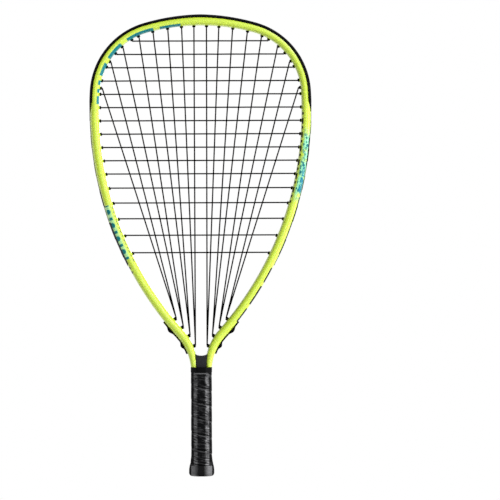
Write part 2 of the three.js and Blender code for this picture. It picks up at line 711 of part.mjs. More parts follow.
// The tape winds up the handle and laps itself at every turn: a helical grid with a step outward at each
// lap.
const grip = (() => {
  const sides = octagon(0).length;
  const rowShares = [0, 0.5, 0.97]; // of the pitch: from one lap's edge to just under the next
  const rowsPerTurn = rowShares.length;
  const turns = Math.ceil((gripTop - gripEnd) / lapPitch) + 2;
  const bottom = gripEnd - lapPitch;
  const points = [];
  const levelOf = (row, side) => {
    const turn = Math.floor(row / rowsPerTurn) + rowShares[row % rowsPerTurn];
    return bottom + lapPitch * (turn - side / sides);
  };
  const last = turns * rowsPerTurn;
  for (let row = 0; row <= last; row++)
    for (let side = 0; side < sides; side++) {
      const z = levelOf(row, side);
      const outline = octagon(flare(z) - lapRise * rowShares[row % rowsPerTurn]);
      // Sides are counted from the back left corner, so that the laps fall to the right across the front.
      const p = outline[(side + sides / 2) % sides];
      points.push(p.x, p.y, z);
    }
  const index = [];
  const id = (row, side) => (side < sides ? row * sides + side : (row - rowsPerTurn) * sides + side - sides);
  for (let row = 0; row < last; row++)
    for (let side = 0; side < sides; side++) {
      if (side === sides - 1 && row < rowsPerTurn) continue;
      const [a, b, c, d] = [id(row, side), id(row, side + 1), id(row + 1, side + 1), id(row + 1, side)];
      index.push(a, b, c, a, c, d);
    }
  // Each end is closed by a fan from the axis, with the last rows of the seam in it.
  const foot = [];
  for (let side = 0; side < sides; side++) foot.push(id(0, side));
  for (let row = 1; row <= rowsPerTurn; row++) foot.push(id(row, sides - 1));
  const head = [];
  for (let row = last - rowsPerTurn; row < last; row++) head.push(id(row, 0));
  for (let side = 0; side < sides; side++) head.push(id(last, side));
  const ends = [[foot, bottom - lapPitch, true], [head, levelOf(last, 0) + lapPitch, false]];
  for (const [loop, z, reversed] of ends) {
    const axis = points.length / 3;
    points.push(0, 0, z);
    loop.forEach((a, i) => {
      const b = loop[(i + 1) % loop.length];
      index.push(...(reversed ? [axis, b, a] : [axis, a, b]));
    });
  }
  const wound = solidOf(points, index);
  const wide = gripWidth;
  const slab = block([-wide, wide], [-wide, wide], [gripEnd, gripTop]);
  const flareLevels = [0, 1 / 3, 2 / 3, 1].map((share) => lerp(gripEnd, flareTop, share));
  const levels = [gripEnd - overrun, ...flareLevels, gripTop + overrun];
  const inside = column(levels.map((z) => ({ z, grow: flare(z) - gripThickness })));
  return wound.intersect(slab).subtract(inside);
})();
add("grip", grip, 0x1b1b1c, 0.75);

// The rubber collar holds the tape's upper end. The legs come out through it.
const collarBottom = handleTop - collarLength;
const prism = (bottom, top, grow) => column([bottom, top].map((z) => ({ z, grow })));
const collarInside = prism(collarBottom - overrun, handleTop + overrun, fitGap - palletInset);
const collar = cutAway(prism(collarBottom, handleTop, collarRise), [collarInside, ...legRoom]);
add("grip_collar", collar, 0x141415, 0.6);

// The butt cap is a cup round the core's lower end. Its skirt goes up under the tape, and a wrist cord's
// hole goes through its floor.
const buttCap = (() => {
  const skirt = (z) => flare(z) - gripThickness - fitGap;
  const ledge = gripEnd - fitGap;
  const outside = column([
    { z: 0, grow: capFlare - capEdge },
    { z: capEdge * (1 - Math.SQRT1_2), grow: capFlare - capEdge * (1 - Math.SQRT1_2) },
    { z: capEdge, grow: capFlare },
    { z: flareLow, grow: capFlare },
    { z: (flareLow + ledge) / 2, grow: flare((flareLow + ledge) / 2) },
    { z: ledge, grow: flare(ledge) },
    { z: ledge, grow: skirt(ledge) },
    { z: capSkirtTop, grow: skirt(capSkirtTop) },
  ]);
  const inside = column([
    { z: capFloor, grow: palletGrow + fitGap },
    { z: capSkirtTop + overrun, grow: palletGrow + fitGap },
  ]);
  const hole = new THREE.CylinderGeometry(tetherHole / 2, tetherHole / 2, (capFloor + overrun) * 2, 12);
  hole.rotateX(Math.PI / 2);
  return cutAway(outside, [inside, solidOfGeometry(hole)]);
})();
add("butt_cap", buttCap, 0x151516, 0.65);

export default root;
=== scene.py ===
import math

import bpy
import numpy as np
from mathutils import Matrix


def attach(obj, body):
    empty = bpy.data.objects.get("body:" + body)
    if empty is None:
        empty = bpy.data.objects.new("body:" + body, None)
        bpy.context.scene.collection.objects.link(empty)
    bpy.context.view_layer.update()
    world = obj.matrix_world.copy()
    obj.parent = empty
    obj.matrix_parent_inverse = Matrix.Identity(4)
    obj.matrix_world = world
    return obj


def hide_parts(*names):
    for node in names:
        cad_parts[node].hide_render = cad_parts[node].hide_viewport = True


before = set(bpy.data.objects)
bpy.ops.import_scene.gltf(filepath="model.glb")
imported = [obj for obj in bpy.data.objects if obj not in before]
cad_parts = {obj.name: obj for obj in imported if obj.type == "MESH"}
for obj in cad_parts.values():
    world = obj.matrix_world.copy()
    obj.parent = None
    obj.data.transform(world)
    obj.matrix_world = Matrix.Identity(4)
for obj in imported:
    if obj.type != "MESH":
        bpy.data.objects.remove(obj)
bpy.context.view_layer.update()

# Lengths are in millimetres, in the frame of the CAD model, and turned to metres when a mesh is made.
MM = 0.001
GAP = 0.3  # between pieces that fit into or onto each other

# The frame's line, from the crown down one side
LENGTH = 558.8
CROWN_RADIUS, CROWN_TURN = 253.0, math.radians(14.8)
SHOULDER_RADIUS, SHOULDER_TURN = 84.5, math.radians(71.9)
FLANK_RADIUS = 405.5
THROAT_RADIUS = 63.0
LEG_RADIUS = 1e9  # as good as straight
LEG_SPACING = 18.2
LEG_END_HEIGHT = 6.0

# The frame's tube, which narrows towards the legs, and the groove along its outside
TUBE_WIDTH, TUBE_DEPTH = 11.4, 20.0
LEG_WIDTH, LEG_DEPTH, LEG_END_DEPTH = 7.1, 17.0, 14.0
TAPER_LENGTH, TAPER_POWER = 60.0, 2.5  # how soon the tube is full, and how slowly it starts to narrow
OVAL_POWER = 2.5
GROOVE_WIDTH, GROOVE_DEPTH = 7.9, 1.8
LEG_GROOVE_DEPTH, GROOVE_FADE = 0.4, 18.0
TUBE_STEP, TUBE_SECTION_STEPS = 1.6, 30

# The crown guard and the strips in the groove. Strings lie in the channel along their middle.
FLOOR_THICKNESS, CHANNEL_WIDTH = 0.65, 4.9
GUARD_RISE, GUARD_SIDE_RISE, GUARD_END_RISE = 1.95, 0.75, 0.35
GUARD_RIDGE = 1.6
GUARD_SKIN = 1.0
SKIN_START = 0.25  # as a share of the way from the groove's edge to the lip
SKIN_THINNING = (1.05, 0.5)  # shares of the skin's thickness at the groove and at the lip
SKIN_STEPS = 7
GUARD_LIP, GUARD_SIDE_LIP = 1.5, 2.8
GUARD_TAPER, GUARD_TAIL, GUARD_END_LAP = 14.0, 26.0, math.radians(10)
SIDE_RAIL_RISE, SIDE_MARGIN = 0.3, 11.0
THROAT_RAIL_RISE, THROAT_MARGIN = 1.6, 6.0
SADDLE_RISE = 2.1
GUARD_EDGE, STRIP_EDGE = 0.18, 0.15
STRIP_STEP, SADDLE_STEP = 1.2, 0.6

# The barrels that the strings go through. The rows of their section are the distance in from the outside,
# or out from the bore, and the distance back from the tip.
BARREL_RADIUS, BARREL_REACH, BORE_RADIUS = 2.0, 2.0, 0.95
BARREL_OUTSIDE = np.array([(0.0, 4.0), (0.0, 0.55), (0.16, 0.16), (0.55, 0.0)])
BARREL_BORE = np.array([(0.3, 0.0), (0.08, 0.1), (0.0, 0.4), (0.0, 4.0)])
PAIR_OFFSET, PAIR_GROWTH, PAIR_REACH = 0.95, 0.2, 0.45

# The strings. The real ones are 1.3 mm thick, and these 1.72 mm, because a dark line about one pixel wide
# comes out paler on white than it is.
STRING_RADIUS = 0.86
WEAVE_GAP = 0.08
STRING_LEAD, STRING_BEND = 0.5, 1.0
STRING_SEAT = 0.66  # of a string's middle over the channel's floor
LANE, TAIL = 1.6, 8.0  # how far a string keeps beside the channel's middle, and how long its end is
CROSS_COUNT, EVEN_CROSSES = 16, 11
CROSS_PITCH, CROSS_SPREAD, FIRST_CROSS_DROP = 16.08, 1.0, 18.7
MAIN_SHARES = np.array([0.0458, 0.1357, 0.237, 0.3465, 0.46, 0.609, 0.757, 0.972])
THROAT_LIFT, THROAT_SPAN = 27.6, 33.0
THROAT_SHARES = np.array([0, 0.38, 0.69, 1])
HALVINGS = 40

# The handle. A rounding is the radius of the octagon's corners beside its front and back, and at its sides.
GRIP_WIDTH, GRIP_DEPTH, GRIP_BEVEL, GRIP_GIRTH = 25.3, 29.3, 7.45, 92.0
GRIP_ROUNDING, BUTT_ROUNDING = (4.5, 8.5), (8.0, 9.5)
GRIP_END = 13.3
GRIP_THICKNESS = 1.6
CORE_INSET = GRIP_THICKNESS + GAP  # of the core's outline from the grip's
COLLAR_LENGTH, COLLAR_RISE, COLLAR_LIFT, COLLAR_EDGE = 5.2, 0.2, 1.3, 0.45
CAP_FLARE, FLARE_TOP, FLARE_LOW = 2.6, 25.0, 6.0
CAP_EDGE, CAP_EDGE_STEPS = 4.2, 6
CAP_FLOOR, CAP_SKIRT_TOP, LEDGE_EDGE = 3.0, 17.0, 0.5
TETHER_HOLE, HOLE_EDGE, HOLE_ROUNDNESS = 7.0, 0.5, 0.94
BRIDGE_WELD, BRIDGE_VOXEL = 0.01, 0.45

# The grip tape. Its section starts at the lap's edge: height across the tape as a share of the laps' pitch,
# and how far out from the grip's outline. What lies further out than TAPE_FACE is the face that is seen.
LAP_PITCH = 19.0
TAPE_START = -5.1  # so that the laps cross the front at the photo's heights
TAPE_PRESS = 0.01
TAPE_ACROSS = np.array([0.02, 0.0, 0.01, 0.05, 0.3, 0.6, 0.84, 1.0, 1.08, 1.08, 0.8, 0.4, 0.06])
TAPE_OUT = np.array([-0.75, -0.45, -0.1, 0.0, -0.05, -0.08, -0.16, -0.5, -0.56, -1.5, -1.45, -1.4, -1.1])
TAPE_FACE = -0.6
WAVE_HEIGHT, WAVE_TURN, WAVE_SLANT = 0.07, 0.83, 1.3
RIPPLE_HEIGHT, RIPPLE_TURN = 0.06, 2.21


def ramp(value, start, end):
    """0 before start, 1 after end and straight between them."""
    return np.clip((value - start) / (end - start), 0, 1)


def smooth(value, start, end):
    """0 before start, 1 after end, with a smooth rise of 3t^2 - 2t^3 between them."""
    t = ramp(value, start, end)
    return t * t * (3 - 2 * t)


def lerp(a, b, t):
    """a where t is 0, b where it is 1 and straight between them."""
    return a + (b - a) * t


# The frame's middle line

def line_joints():
    """Where each arc of the right half starts: its length along the line, place, heading and radius.

    The heading is 0 to the right and grows clockwise. The flank turns until the throat's arc, which bends the
    other way, lands the leg at half the legs' spacing. A leg is an arc of a huge radius.
    """
    shoulder_to = CROWN_TURN + SHOULDER_TURN
    reach = (
        LEG_SPACING / 2
        + THROAT_RADIUS
        - (CROWN_RADIUS - SHOULDER_RADIUS) * math.sin(CROWN_TURN)
        - (SHOULDER_RADIUS - FLANK_RADIUS) * math.sin(shoulder_to)
    )
    flank_to = math.pi - math.asin(reach / (FLANK_RADIUS + THROAT_RADIUS))
    radii = [CROWN_RADIUS, SHOULDER_RADIUS, FLANK_RADIUS, -THROAT_RADIUS, LEG_RADIUS]
    headings = [0.0, CROWN_TURN, shoulder_to, flank_to, math.pi / 2]
    s, x, z = [0.0], [0.0], [LENGTH - GUARD_RISE - TUBE_WIDTH / 2]
    for radius, start, end in zip(radii, headings, headings[1:]):
        s.append(s[-1] + abs(radius * (end - start)))
        x.append(x[-1] + radius * (math.sin(end) - math.sin(start)))
        z.append(z[-1] + radius * (math.cos(end) - math.cos(start)))
    return [np.array(values) for values in (s, x, z, headings, radii)]


JOINT_S, JOINT_X, JOINT_Z, JOINT_HEADING, JOINT_RADIUS = line_joints()
CROWN_END, SHOULDER_END, FLANK_END, THROAT_END = JOINT_S[1:]
HANDLE_TOP = JOINT_Z[4]
GRIP_TOP = HANDLE_TOP - COLLAR_LENGTH - GAP
TUBE_END = THROAT_END + HANDLE_TOP - LEG_END_HEIGHT


class Place:
    """The frame at lengths s along its line, 0 at the crown and negative on the left, as arrays of s's
    shape. Where s is a column, a row of points across the tube spreads out over it to a grid."""

    def __init__(self, s):
        self.s = np.asarray(s, float)
        away = np.abs(self.s)
        i = np.clip(np.searchsorted(JOINT_S, away, side="right") - 1, 0, len(JOINT_S) - 1)
        heading = JOINT_HEADING[i] + (away - JOINT_S[i]) / JOINT_RADIUS[i]
        side = np.where(self.s < 0, -1.0, 1.0)
        self.x = side * (JOINT_X[i] + JOINT_RADIUS[i] * (np.sin(heading) - np.sin(JOINT_HEADING[i])))
        self.z = JOINT_Z[i] + JOINT_RADIUS[i] * (np.cos(heading) - np.cos(JOINT_HEADING[i]))
        self.nx, self.nz = side * np.sin(heading), np.cos(heading)
        taper = (1 - ramp(self.z, HANDLE_TOP, HANDLE_TOP + TAPER_LENGTH)) ** TAPER_POWER
        held = ramp(HANDLE_TOP - self.z, 0, HANDLE_TOP - GRIP_TOP)
        leg_outer = GRIP_WIDTH / 2 - CORE_INSET - LEG_SPACING / 2
        self.inner = lerp(TUBE_WIDTH, LEG_WIDTH, taper) / 2
        self.outer = lerp(self.inner, leg_outer, held)
        self.half_depth = lerp(lerp(TUBE_DEPTH, LEG_DEPTH, taper), LEG_END_DEPTH, held) / 2
        fade = 1 - ramp(self.z, HANDLE_TOP, HANDLE_TOP + GROOVE_FADE)
        self.groove = lerp(GROOVE_DEPTH, LEG_GROOVE_DEPTH, fade)
        self.floor_under = self.outer - self.groove + GAP
        self.floor_top = self.floor_under + FLOOR_THICKNESS
        self.ride = self.floor_top + STRING_SEAT
        self.tip = self.inner + BARREL_REACH

    def spot(self, u, v=0.0, w=0.0):
        """Points u outward across the tube, v towards the back and w along the line."""
        x = self.x + u * self.nx + w * self.nz
        z = self.z + u * self.nz - w * self.nx
        return np.stack(np.broadcast_arrays(x, v, z), -1)


def oval(place, angle, grow=0.0):
    """The tube's outline, a superellipse: each of the cosine and sine to the power 2 over OVAL_POWER, times
    half the width or depth. The angle is 0 at the outer face."""
    c, s = np.cos(angle), np.sin(angle)
    across = (place.outer + place.inner) / 2 + grow
    u = (place.outer - place.inner) / 2 + across * np.sign(c) * np.abs(c) ** (2 / OVAL_POWER)
    return u, (place.half_depth + grow) * np.abs(s) ** (2 / OVAL_POWER)


def groove_angle(place):
    """The oval's angle at the groove's edge."""
    return np.arcsin((GROOVE_WIDTH / 2 / place.half_depth) ** (OVAL_POWER / 2))


def both_ways(half, sign=1, shared=0):
    """A half section's values, then its mirror image's back to the start, times sign. The shared points at
    the half's end lie in the mirror's plane and come once."""
    image = half[:, : half.shape[1] - shared]
    return np.concatenate([half, sign * image[:, ::-1]], 1)


def stations(start, end, pitch, nearest=0.05):
    """A column of lengths from start to end at about one pitch, with the line's joints among them and none
    that is nearer than nearest to the one before."""
    even = np.linspace(start, end, int(abs(end - start) / pitch) + 2)
    wanted = np.concatenate([even, JOINT_S, -JOINT_S])
    wanted = np.unique(np.round(wanted[(wanted >= min(start, end)) & (wanted <= max(start, end))], 3))
    apart = np.concatenate([[True], np.diff(wanted) > nearest])
    return wanted[apart][:, None]


# Meshes

def grid(points, ring=False):
    """Quads over a grid of points, rows first, whose last column joins the first. So do the last row and the
    first where it is a ring, and a tube that isn't one gets a face at each end."""
    rows, columns = points.shape[:2]
    r, c = np.meshgrid(np.arange(rows if ring else rows - 1), np.arange(columns), indexing="ij")
    here, below, right = r * columns, (r + 1) % rows * columns, (c + 1) % columns
    faces = np.stack([here + c, here + right, below + right, below + c], -1).reshape(-1, 4).tolist()
    if not ring:
        end = np.arange(columns)
        faces += [end[::-1].tolist(), (end + (rows - 1) * columns).tolist()]
    return points.reshape(-1, 3), faces


def together(parts):
    """Several meshes as one: vertices on end and each face list moved on by what came before it."""
    vertices, faces, count = [], [], 0
    for points, polygons in parts:
        vertices.append(points)
        faces += [[i + count for i in face] for face in polygons]
        count += len(points)
    return np.concatenate(vertices), faces


def outward(vertices, faces):
    """The faces, turned round if the volume that they enclose comes out negative."""
    total = 0.0
    for size in {len(face) for face in faces}:
        group = np.array([face for face in faces if len(face) == size])
        for k in range(1, size - 1):
            a, b, c = vertices[group[:, 0]], vertices[group[:, k]], vertices[group[:, k + 1]]
            total += np.einsum("ij,ij->", a, np.cross(b, c))
    return faces if total > 0 else [face[::-1] for face in faces]


def in_scene(name, data):
    """A new object in the scene that shows the data."""
    made = bpy.data.objects.new(name, data)
    bpy.context.scene.collection.objects.link(made)
    return made


def piece(name, parts, material, node, crease=40, uvs=None, bevel=0.0):
    """Makes the closed meshes in parts one object that stands for the CAD node and rides on the root."""
    vertices, faces = together([(points, outward(points, polygons)) for points, polygons in parts])
    mesh = bpy.data.meshes.new(name)
    mesh.from_pydata((vertices * MM).tolist(), [], faces)
    if uvs is not None:
        corner = np.empty(len(mesh.loops), np.int32)
        mesh.loops.foreach_get("vertex_index", corner)
        mesh.uv_layers.new(name="surface").data.foreach_set("uv", uvs[corner].astype(np.float32).ravel())
    mesh.polygons.foreach_set("use_smooth", np.ones(len(mesh.polygons), bool))
    mesh.set_sharp_from_angle(angle=math.radians(crease))
    mesh.materials.append(material)
    made = in_scene(name, mesh)
    if bevel:
        rounding = made.modifiers.new("rounding", "BEVEL")
        rounding.width, rounding.segments, rounding.limit_method = bevel * MM, 2, "ANGLE"
        rounding.angle_limit = math.radians(crease)
    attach(made, "root")
    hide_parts(node)


# Materials

def linear(code):
    """An sRGB hex value as linear red, green, blue and alpha."""
    values = [int(code[i : i + 2], 16) / 255 for i in (1, 3, 5)]
    return [v / 12.92 if v <= 0.04045 else ((v + 0.055) / 1.055) ** 2.4 for v in values] + [1.0]


def add(tree, kind, inputs=None, **settings):
    """Adds the shader node of a kind, sets its properties, and sets or links its inputs."""
    node = tree.nodes.new("ShaderNode" + kind)
    for key, value in settings.items():
        setattr(node, key, value)
    for key, value in (inputs or {}).items():
        if isinstance(value, bpy.types.NodeSocket):
            tree.links.new(value, node.inputs[key])
        else:
            node.inputs[key].default_value = value
    return node


def empty_tree(owner):
    """The node tree of a material or of the world, with nothing in it."""
    owner.use_nodes = True
    owner.node_tree.nodes.clear()
    return owner.node_tree


def finish_material(name, surface):
    """A new material whose tree surface(tree, place) fills. surface returns the shader's inputs."""
    material = bpy.data.materials.new(name)
    tree = empty_tree(material)
    place = add(tree, "TexCoord").outputs
    shader = add(tree, "BsdfPrincipled", surface(tree, place))
    add(tree, "OutputMaterial", {"Surface": shader.outputs[0]})
    return material


def sized(place, size, **more):
    """A texture's inputs for a pattern on the piece whose features have a size in mm."""
    return {"Vector": place["Object"], "Scale": 1 / (size * MM), **more}


def reckon(tree, operation, *values):
    """Several values brought to one: the operation on the first two, then on its result and the next."""
    result = values[0]
    for value in values[1:]:
        result = add(tree, "Math", {0: result, 1: value}, operation=operation).outputs[0]
    return result


def window(tree, value, low, high, soft):
    """1 where value lies between low and high, falling to 0 over soft to either side of each edge."""
    rise = add(tree, "MapRange", {"Value": value, "From Min": low - soft, "From Max": low + soft})
    fall = add(tree, "MapRange", {"Value": value, "From Min": high + soft, "From Max": high - soft})
    return reckon(tree, "MULTIPLY", rise.outputs[0], fall.outputs[0])


def tint(tree, below, mask, code):
    """The colour below with another laid over it where mask is 1."""
    mixed = add(tree, "Mix", {"Factor": mask, 6: below, 7: linear(code)}, data_type="RGBA")
    return mixed.outputs[2]


# The prints on the frame. A row is an area in mm: start and end along the frame's line, then start and end
# across it from the groove's edge. The front's middle is at 9 there and the inner face's middle at 22.
TEAL_BARS = [
    (-50, -24, 11.9, 21), (-94, -58, 11.2, 21), (-127, -103, 10.8, 21), (-151, -134, 11.2, 21),
    (-163, -157, 11.8, 21), (-173, -168, 11.8, 21), (-187, -177, 11.6, 21),
]
BLACK_EDGES = [
    (-386, -331, -0.5, 4.6), (391, 411, -0.5, 4.9), (416, 442, -0.5, 5.2), (448, 468, -0.5, 4.9),
    (-392, -389, -0.5, 4.6), (-398, -395, -0.5, 4.2), (228, 262, -0.5, 3.2), (300, 372, -0.5, 2.6),
    (-312, -290, -0.5, 2.8),
]
MINT_PATCH, BLUE_PATCH = (222, 300, 1.0, 11.0), (266, 298, 1.0, 8.0)
MARK_ROW, MARK_GROUND = (-380, -311, 3.0, 9.2), (-380, -311, 2.4, 9.8)
FINE_DASHES, LONG_DASHES = (-386, -312, 12.2, 13.8), (196, 310, 12.6, 16.8)
# Dashes as their pitch and their start and end in it. Two beats laid together make two lengths.
FINE_BEATS = [(5.2, 0.5, 3.1), (13.0, 4.0, 6.4)]
LONG_BEATS = [(17.0, 0.5, 7.5), (17.0, 10.5, 13.5)]
MARK_PITCH, SPOT_AT, BAR_SPAN = 17.0, 4.2, (10.6, 14.0)
SPOT_EDGE = (11.2, 9.2)  # the squared distances from a spot's middle where its colour starts and is full
PRINT_EDGE, DASH_EDGE = 0.35, 0.2  # the softness of the prints' edges
WAVER_SIZE, DROP_SPACING = 9, 4.4  # of the mint ground's broken edge, and of its drops
DRIFT_SIZE, PEEL_SIZE = 45, 1.4  # of the lacquer's change in colour, and of its orange peel
LIME, LIME_DRIFT = "#b9d32e", "#c2da38"
MINT, PALE_MINT = "#7fd6a2", "#a2e6ae"
DROP_TEAL, DROP_BLUE, MARK_TEAL, BAR_TEAL = "#00636c", "#00708a", "#08787a", "#00747c"
OLIVE, PRINT_BLACK = "#3a4410", "#040404"


def area(tree, uv, row, soft=PRINT_EDGE, soft_aside=None):
    """1 in the area that a row gives, with edges soft along the frame and soft_aside across it."""
    low, high, inner, outer = row
    within = window(tree, uv[0], low, high, soft)
    beside = window(tree, uv[1], inner, outer, soft if soft_aside is None else soft_aside)
    return reckon(tree, "MULTIPLY", within, beside)


def areas(tree, uv, rows):
    """1 in any of the areas that the rows give."""
    return reckon(tree, "MAXIMUM", *[area(tree, uv, row) for row in rows])


def dashed(tree, uv, row, beats):
    """The area that a row gives, broken into dashes by its beats."""
    dashes = []
    for pitch, low, high in beats:
        turn = reckon(tree, "FLOORED_MODULO", uv[0], pitch)
        dashes.append(window(tree, turn, low, high, DASH_EDGE))
    return reckon(tree, "MULTIPLY", area(tree, uv, row), reckon(tree, "MAXIMUM", *dashes))


def spattered(tree, place, uv, base):
    """The mint ground, broken up and faded out towards its ends, with drops of teal 4.4 mm apart and a
    cloud of blue. Returns the colour, and the masks of the drops and the cloud."""
    waver = add(tree, "TexNoise", sized(place, WAVER_SIZE, Detail=3.0)).outputs[0]
    broken = add(tree, "MapRange", {"Value": waver, "From Min": 0.36, "From Max": 0.50}).outputs[0]
    ground = reckon(tree, "MULTIPLY", area(tree, uv, MINT_PATCH, 8, 1.2), broken)
    cells = add(tree, "TexVoronoi", sized(place, DROP_SPACING))
    dots = add(tree, "MapRange", {"Value": cells.outputs["Distance"], "From Min": 0.52, "From Max": 0.40})
    drops = reckon(tree, "MULTIPLY", ground, dots.outputs[0])
    spread = add(tree, "MapRange", {"Value": waver, "From Min": 0.42, "From Max": 0.52}).outputs[0]
    cloud = reckon(tree, "MULTIPLY", ground, spread, area(tree, uv, BLUE_PATCH, 5, 0.8))
    base = tint(tree, base, ground, MINT)
    base = tint(tree, base, drops, DROP_TEAL)
    return tint(tree, base, cloud, DROP_BLUE), drops, cloud


def row_of_marks(tree, uv, base):
    """Round spots and short bars by turns on a paler ground. A spot is where the squares of the distances
    along and across from its middle add up to little. Returns the colour and the marks' mask."""
    low, high, inner, outer = MARK_ROW
    ground = reckon(tree, "MULTIPLY", area(tree, uv, MARK_GROUND, 1.2), 0.7)
    turn = reckon(tree, "FLOORED_MODULO", uv[0], MARK_PITCH)
    ahead = reckon(tree, "SUBTRACT", turn, SPOT_AT)
    above = reckon(tree, "SUBTRACT", uv[1], (inner + outer) / 2)
    squares = [reckon(tree, "MULTIPLY", value, value) for value in (ahead, above)]
    spots = add(tree, "MapRange", {
        "Value": reckon(tree, "ADD", *squares), "From Min": SPOT_EDGE[0], "From Max": SPOT_EDGE[1],
    }).outputs[0]
    beside, within = window(tree, uv[1], inner, outer, 0.3), window(tree, uv[0], low, high, 0.1)
    bars = reckon(tree, "MULTIPLY", window(tree, turn, *BAR_SPAN, DASH_EDGE), beside)
    marks = reckon(tree, "MULTIPLY", reckon(tree, "MAXIMUM", spots, bars), within)
    return tint(tree, tint(tree, base, ground, PALE_MINT), marks, MARK_TEAL), marks


def lime_lacquer(tree, place):
    """Moulded fibre composite, filled, sprayed with lime enamel and clear coated: an even, glossy colour
    that drifts a little over 45 mm, with a faint orange peel of 1.4 mm. Under the clear coat lie plain
    screen-printed bars, dashes and spots, matter than the lacquer round them, and the black most of all."""
    uv = add(tree, "SeparateXYZ", {0: place["UV"]}).outputs
    drift = add(tree, "TexNoise", sized(place, DRIFT_SIZE, Detail=2.0))
    base = tint(tree, linear(LIME), drift.outputs[0], LIME_DRIFT)
    base, drops, cloud = spattered(tree, place, uv, base)
    base, marks = row_of_marks(tree, uv, base)
    bars = areas(tree, uv, TEAL_BARS)
    base = tint(tree, base, bars, BAR_TEAL)
    base = tint(tree, base, dashed(tree, uv, FINE_DASHES, FINE_BEATS), OLIVE)
    black = reckon(tree, "MAXIMUM", areas(tree, uv, BLACK_EDGES), dashed(tree, uv, LONG_DASHES, LONG_BEATS))
    base = tint(tree, base, black, PRINT_BLACK)
    inks = reckon(tree, "MULTIPLY", reckon(tree, "MAXIMUM", drops, cloud, marks, bars), 0.35)
    loss = reckon(tree, "MAXIMUM", inks, reckon(tree, "MULTIPLY", black, 0.46))
    gloss = reckon(tree, "SUBTRACT", 0.5, loss)
    peel = add(tree, "TexNoise", sized(place, PEEL_SIZE, Detail=1.0))
    bump = add(tree, "Bump", {"Height": peel.outputs[0], "Strength": 0.015, "Distance": 0.02 * MM})
    return {
        "Base Color": base,
        "Roughness": 0.36,
        "Specular IOR Level": gloss,
        "Coat Weight": reckon(tree, "MULTIPLY", gloss, 0.55),
        "Coat Roughness": 0.16,
        "Normal": bump.outputs[0],
    }


PATCH_SIZE = 14  # of the smoother and rougher patches of moulded pieces
# Painted highlight bands, in mm from the plane that halves the handle: start, end and the start's softness
TAPE_HIGHLIGHT_BAND, BUTT_HIGHLIGHT_BAND = (5.2, 9.2, 1.0), (6.0, 12.6, 2.6)
RAGGED, HIGHLIGHT_END = 4.0, 0.5  # how far a noise moves the start, and the softness of the end


def highlight_band_mask(tree, place, patchy, inner, outer, soft):
    """1 on the handle's four slanting faces, between two distances from the plane that halves the handle,
    where a highlight is painted. The noise patchy makes the inner edge ragged."""
    across = add(tree, "SeparateXYZ", {0: place["Object"]}).outputs[0]
    off = add(tree, "Math", {0: across}, operation="ABSOLUTE").outputs[0]
    aside = reckon(tree, "MULTIPLY", off, 1 / MM)
    ragged = reckon(tree, "MULTIPLY", reckon(tree, "SUBTRACT", patchy, 0.5), RAGGED)
    moved = reckon(tree, "ADD", aside, ragged)
    rise = add(tree, "MapRange", {"Value": moved, "From Min": inner - soft, "From Max": inner + soft})
    fall = add(tree, "MapRange", {"Value": aside, "From Min": outer + HIGHLIGHT_END, "From Max": outer - HIGHLIGHT_END})
    return reckon(tree, "MULTIPLY", rise.outputs[0], fall.outputs[0])


def grained(color, roughness, gloss, grain, depth, wear_and_sheen=None):
    """Moulded plastic or rubber of one colour whose mould was etched to a grain of a size and depth in mm.
    Its gloss is the share of light that it mirrors, where 0.5 is usual and matt black rubber has far less.
    Over 14 mm it is by turns smoother and rougher. The handle's slanting faces may have a painted highlight."""

    def surface(tree, place):
        fine = add(tree, "TexNoise", sized(place, grain, Detail=3.0))
        patchy = add(tree, "TexNoise", sized(place, PATCH_SIZE, Detail=2.0)).outputs[0]
        bump = add(tree, "Bump", {"Height": fine.outputs[0], "Strength": 0.5, "Distance": depth * MM})
        low, high = roughness - 0.06, roughness + 0.06
        rough = add(tree, "MapRange", {"Value": patchy, "To Min": low, "To Max": high})
        base, shine = linear(color), gloss
        # A painted highlight in its own colour, with the gloss only there, on the slanting faces
        if wear_and_sheen:
            thin = add(tree, "MapRange", {"Value": patchy, "From Min": 0.3, "From Max": 0.6, "To Min": 0.6})
            mask = reckon(tree, "MULTIPLY", highlight_band_mask(tree, place, patchy, *BUTT_HIGHLIGHT_BAND), thin.outputs[0])
            base = tint(tree, base, mask, wear_and_sheen)
            shine = reckon(tree, "MULTIPLY", mask, gloss)
        return {
            "Base Color": base,
            "Roughness": rough.outputs[0],
            "Specular IOR Level": shine,
            "Normal": bump.outputs[0],
        }

    return surface


# The tape's creases, pores and patches of wear and painted highlight in mm, and its colours
CREASE_LENGTH, CREASE_WIDTH, PORE_SIZE, WEAR_AND_SHEEN_SIZE = 9, 1.6, 1.3, 7
LIT_STRIP = (16.2, 17.4, 0.5)  # across the tape, where it turns up to the light: start, end and softness
# Painted shade along each lap
LAP_SHADE_STRIPS = [(-2, 0.4, 0.3), (18.2, 25, 0.4)]  # at the lap's edge, and under the next lap
CUT_HEIGHT, CUT_REACH = 1.4, 5.5
TAPE_BLACK, TAPE_GREY, CREASE_HIGHLIGHT_GREY, BEVEL_HIGHLIGHT_GREY = "#050506", "#161617", "#58585a", "#828284"
LIT_GREY, LAP_SHADE_BLACK, EDGE_HIGHLIGHT_GREY = "#5c5c5e", "#020202", "#6a6a6c"


